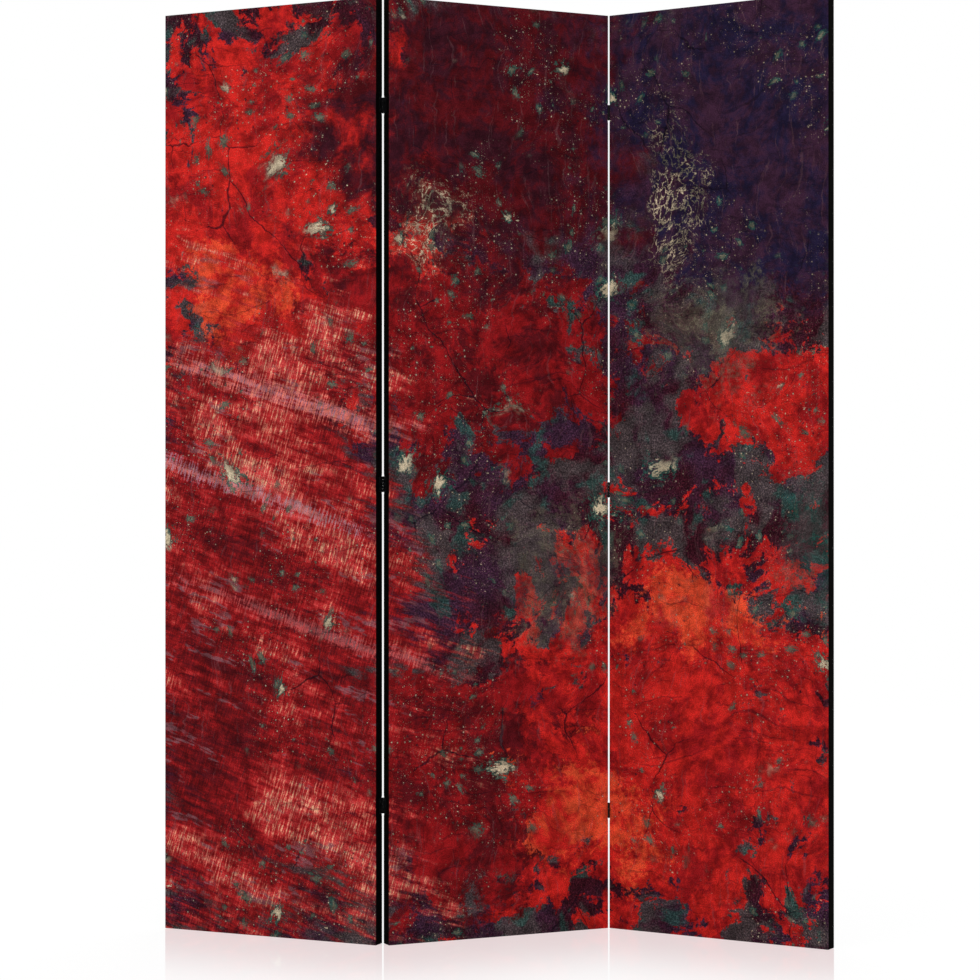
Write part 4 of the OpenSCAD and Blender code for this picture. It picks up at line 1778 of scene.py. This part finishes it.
        def drawn(place: float, length: float) -> float:
            """A place drawn inward between staples, if its own edge is the nearest."""
            toward = (1 if place < length / 2 else -1) * (nearest >= min(place, length - place))
            return place + inward * toward

        middle = SIZE.depth + self.height(x, z) - layers / 2
        return Vector((drawn(x, SIZE.width), middle + rise, drawn(z, SIZE.height)))

    def build(self) -> bpy.types.Object:
        """Returns:
            The cloth's object.
        """
        plan = MeshPlan()
        across, up = self.stops(SIZE.width), self.stops(SIZE.height)
        start = self.place.panel.order * SIZE.width
        grid = [(i, k) for i in range(len(across)) for k in range(len(up))]
        places = {(i, k): (start + across[i], up[k]) for i, k in grid}
        sides = [
            {(i, k): plan.point(self.spot(across[i], up[k], outer)) for i, k in grid}
            for outer in (True, False)
        ]
        steps = ([step[::-1] for step in SQUARE], SQUARE)
        last = len(across) - 1, len(up) - 1
        for numbers, (shift, width), turns in zip(sides, self.bake_spans, steps):
            for i, k in grid:
                if i == last[0] or k == last[1]:
                    continue
                keys = [(i + di, k + dk) for di, dk in turns]
                bake = [(shift + width * across[a] / SIZE.width, up[b] / SIZE.height) for a, b in keys]
                corners = [numbers[key] for key in keys]
                plan.face(corners, Print=[places[key] for key in keys], OFBake=bake)
        plan.band(ring_round((0, last[0]), (0, last[1])), sides, places, self.bake_band)
        panel = self.place.panel
        made = plan.stand(f"{panel.value}_backing", f"{panel.value} back cloth", self.place, FELT)
        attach(made, panel.body)
        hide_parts(f"{panel.value}_panel_back_cloth")
        return made


def dress(node: str, finish: Finish, ease: float = 0.0) -> None:
    """Gives a CAD node its finish and rounds its sharp edges a little, so that they catch the light.

    Args:
        node: The node's name.
        finish: The finish.
        ease: Width of the rounding, or 0 for none.
    """
    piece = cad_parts[node]
    piece.data.materials.clear()
    piece.data.materials.append(finish.material())
    if ease:
        bevel = piece.modifiers.new("Eased edges", "BEVEL")
        bevel.width, bevel.segments, bevel.limit_method = ease, 2, "ANGLE"
        bevel.angle_limit = EASED_ANGLE
        bevel.use_clamp_overlap = True
        bevel.harden_normals = False


@dataclass
class TimberFrame:
    """The stretcher bars, braces and dowels of one panel, dressed as CAD made them."""

    place: PanelPlace

    def dress(self) -> int:
        """Gives each bar a finish whose grain runs along it.

        Returns:
            Number of nodes dressed.
        """
        name, yaw = self.place.panel.value, self.place.yaw
        upright = Timber(f"Pine upright {name}", yaw=yaw)
        across = Timber(f"Pine across {name}", yaw=yaw, axis=GrainAxis.ACROSS)
        beech = Timber(
            f"Beech {name}", early=(0.62, 0.42, 0.27), late=(0.48, 0.28, 0.16), yaw=yaw,
            axis=GrainAxis.ACROSS, rings=700.0, fibre=1500.0,
        )
        pieces = {
            "left_stile": upright, "right_stile": upright, "top_rail": across, "bottom_rail": across,
            "upper_brace": across, "lower_brace": across, "brace_dowels": beech,
        }
        for piece, finish in pieces.items():
            dress(f"{name}_panel_{piece}", finish)
        return len(pieces)


@dataclass
class Fixings:
    """The nails and staples of one panel."""

    place: PanelPlace
    ease: float = 0.14 * MM

    def dress(self) -> int:
        """Gives each group its steel.

        Returns:
            Number of nodes dressed.
        """
        pieces = ("corner_nails", "staples")
        for piece in pieces:
            dress(f"{self.place.panel.value}_panel_{piece}", BRIGHT_STEEL, self.ease)
        return len(pieces)


@dataclass
class HingeSet:
    """The three hinges and their screws at one joint."""

    joint: str
    hinge_ease: float = 0.10 * MM
    screw_ease: float = 0.08 * MM

    def dress(self) -> int:
        """Gives the leaves, pins and screws their steel.

        Returns:
            Number of nodes dressed.
        """
        finishes = {"inner_leaf": LEAF_STEEL, "outer_leaf": LEAF_STEEL, "pin": PIN_STEEL}
        for height in HINGES:
            for piece, finish in finishes.items():
                dress(f"{self.joint}_joint_{height}_hinge_{piece}", finish, self.hinge_ease)
        leaves = ("inner", "outer")
        for leaf in leaves:
            dress(f"{self.joint}_joint_{leaf}_screws", SCREW_STEEL, self.screw_ease)
        return len(HINGES) * len(finishes) + len(leaves)


def shown_rays(graph: Graph) -> Socket:
    """1 for the rays that show the background: the camera's own, and those off or through a surface.

    Args:
        graph: The graph of the floor's or the world's nodes.

    Returns:
        1 for those rays and 0 for the rest.
    """
    rays = graph.node("LightPath").outputs
    seen = graph.calc("MAXIMUM", rays["Is Camera Ray"], rays["Is Glossy Ray"])
    return graph.calc("MAXIMUM", seen, rays["Is Transmission Ray"])


@dataclass(frozen=True)
class StudioFloor:
    """White floor that keeps a faint reflection and shadow of what stands on it."""

    reach: float = 40.0
    near: float = 1.7
    cell: float = 0.03
    drop: float = 0.5 * MM
    gloss: Colour = (0.19, 0.30, 0.295)
    fade: float = 0.33
    edge: float = 2.4
    shade: float = 0.10
    sky: float = 0.86
    white: float = 0.86
    roughness: float = 0.035

    def polish(self, x: float, y: float, feet: Sequence[tuple[Vector, Vector]]) -> float:
        """How strongly the floor reflects at a place, most where the screen stands.

        Args:
            x: Place on the floor.
            y: Place on the floor.
            feet: Both ends of each panel's lower front edge.

        Returns:
            A share from 0 to 1.
        """
        here = Vector((x, y))
        best = self.near
        for a, b in feet:
            along = b - a
            share = min(1.0, max(0.0, (here - a).dot(along) / along.length_squared))
            best = min(best, (here - a - along * share).length)
        return math.exp(-((best / self.fade) ** self.edge))

    def stops(self) -> list[float]:
        """Lattice places on each side of the middle, close together near the screen."""
        inner = evenly(-self.near, self.near, self.cell)
        return [-self.reach, -self.near, *inner, self.near, self.reach]

    def build(self, places: Sequence[PanelPlace]) -> bpy.types.Object:
        """Makes the floor.

        Args:
            places: The panels that stand on it.

        Returns:
            The floor's object.
        """
        feet = []
        for place in places:
            matrix = place.matrix()
            ends = [matrix @ Vector((x, 0.0, 0.0)) for x in (0.0, SIZE.width)]
            feet.append((ends[0].to_2d(), ends[1].to_2d()))
        rows = self.stops()
        count = len(rows)
        plan = MeshPlan([Vector((x, y, -self.drop)) for x in rows for y in rows])
        for i in range(count - 1):
            for k in range(count - 1):
                a = i * count + k
                plan.face((a, a + count, a + count + 1, a + 1))
        mesh = plan.mesh("studio floor", self.material())
        layer = mesh.attributes.new("polish", "FLOAT", "POINT")
        layer.data.foreach_set("value", [self.polish(point.x, point.y, feet) for point in plan.points])
        made = add("studio_floor", mesh)
        made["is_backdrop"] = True
        return made

    def material(self) -> bpy.types.Material:
        """White for the camera, with the reflection and the shadow laid over it.

        Returns:
            The material.
        """
        made = bpy.data.materials.new("Studio floor")
        made.use_nodes = True
        graph = Graph(made.node_tree)
        polish = graph.node("Attribute", attribute_name="polish").outputs["Fac"]
        gloss = graph.mix(polish, ORIGIN, self.gloss)
        unlit = {0: 1.0, 6: (1.0 - self.shade * self.sky,) * 3, 7: gloss}
        left = graph.node("Mix", unlit, data_type="RGBA", blend_type="SUBTRACT").outputs[2]
        lit = graph.node("Emission", {"Color": left}).outputs[0]
        shade = graph.node("BsdfDiffuse", {"Color": (self.shade,) * 3}).outputs[0]
        mirror = graph.node("BsdfGlossy", {"Color": gloss, "Roughness": self.roughness}).outputs[0]
        matt = graph.node("AddShader", {0: lit, 1: shade}).outputs[0]
        seen = graph.node("AddShader", {0: matt, 1: mirror}).outputs[0]
        plain = graph.node("BsdfDiffuse", {"Color": (self.white,) * 3}).outputs[0]
        both = graph.node("MixShader", {0: shown_rays(graph), 1: plain, 2: seen}).outputs[0]
        graph.node("OutputMaterial", {"Surface": both})
        return made


@dataclass(frozen=True)
class Lamp:
    """A soft square lamp that looks at the middle of the screen."""

    name: str
    place: Triple
    size: float
    power: float

    def build(self) -> None:
        """Hangs the lamp."""
        data = bpy.data.lights.new(self.name, "AREA")
        data.size, data.energy = self.size, self.power
        made = add(self.name, data)
        made.location = self.place
        aim = Vector((0.0, 0.0, SIZE.height / 2)) - Vector(self.place)
        made.rotation_euler = aim.to_track_quat("-Z", "Y").to_euler()


@dataclass(frozen=True)
class Studio:
    """The plain pale room, its lamps and the camera."""

    sky: float = 0.86
    lamps: tuple[Lamp, ...] = (
        Lamp("key", (-2.6, -3.4, 2.9), 2.2, 22.0),
        Lamp("fill", (2.8, -3.2, 2.0), 2.6, 14.0),
        Lamp("back", (0.6, 3.6, 3.0), 2.4, 26.0),
    )
    camera_place: Triple = (-0.0039, -4.7216, 0.8206)
    camera_tilt: float = 0.060
    lens: float = 94.03
    sensor: float = 36.0
    view_ends: Flat = (0.1, 200.0)

    def build_world(self) -> None:
        """Lights the room evenly and shows it white."""
        world = bpy.data.worlds.new("Studio")
        world.use_nodes = True
        graph = Graph(world.node_tree)
        strength = graph.blend(shown_rays(graph), self.sky, 1.0)
        sky = graph.node("Background", {"Color": (1.0, 1.0, 1.0), "Strength": strength}).outputs[0]
        graph.node("OutputWorld", {"Surface": sky})
        bpy.context.scene.world = world

    def build_camera(self) -> None:
        """Stands the camera where the photograph was taken from."""
        data = bpy.data.cameras.new("camera")
        data.lens, data.sensor_width = self.lens, self.sensor
        data.clip_start, data.clip_end = self.view_ends
        made = add("camera", data)
        made.location = self.camera_place
        made.rotation_euler = (math.radians(90 + self.camera_tilt), 0.0, 0.0)
        bpy.context.scene.camera = made

    def build(self, places: Sequence[PanelPlace]) -> None:
        """Makes the whole room round the panels.

        Args:
            places: The panels.
        """
        self.build_world()
        self.build_camera()
        for lamp in self.lamps:
            lamp.build()
        StudioFloor(sky=self.sky).build(places)
        bpy.context.scene.view_settings.view_transform = "Standard"


def write_sizes() -> None:
    """Logs the CAD model's box and the dressed model's box."""
    boxes = {"cad": CAD_BOX, "visual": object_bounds()}
    rows = {name: [list(corner) for corner in box] for name, box in boxes.items()}
    log.info("sizes %s", rows)


def main() -> None:
    """Dresses the screen piece by piece and builds the studio round it."""
    logging.basicConfig(level=logging.INFO, format="%(name)s: %(message)s")
    places = [PanelPlace(panel) for panel in Panel]
    Studio().build(places)
    for place in places:
        name = place.panel.value
        log.info("%s panel: timber, %d nodes", name, TimberFrame(place).dress())
        log.info("%s panel: fixings, %d nodes", name, Fixings(place).dress())
        sheet = PrintedSheet(place).build()
        log.info("%s panel: printed canvas, %d faces", name, len(sheet.data.polygons))
        cloth = BackCloth(place).build()
        log.info("%s panel: back cloth, %d faces", name, len(cloth.data.polygons))
    for joint in JOINTS:
        log.info("%s joint: hinges and screws, %d nodes", joint, HingeSet(joint).dress())
    write_sizes()


if __name__ == "__main__":
    main()
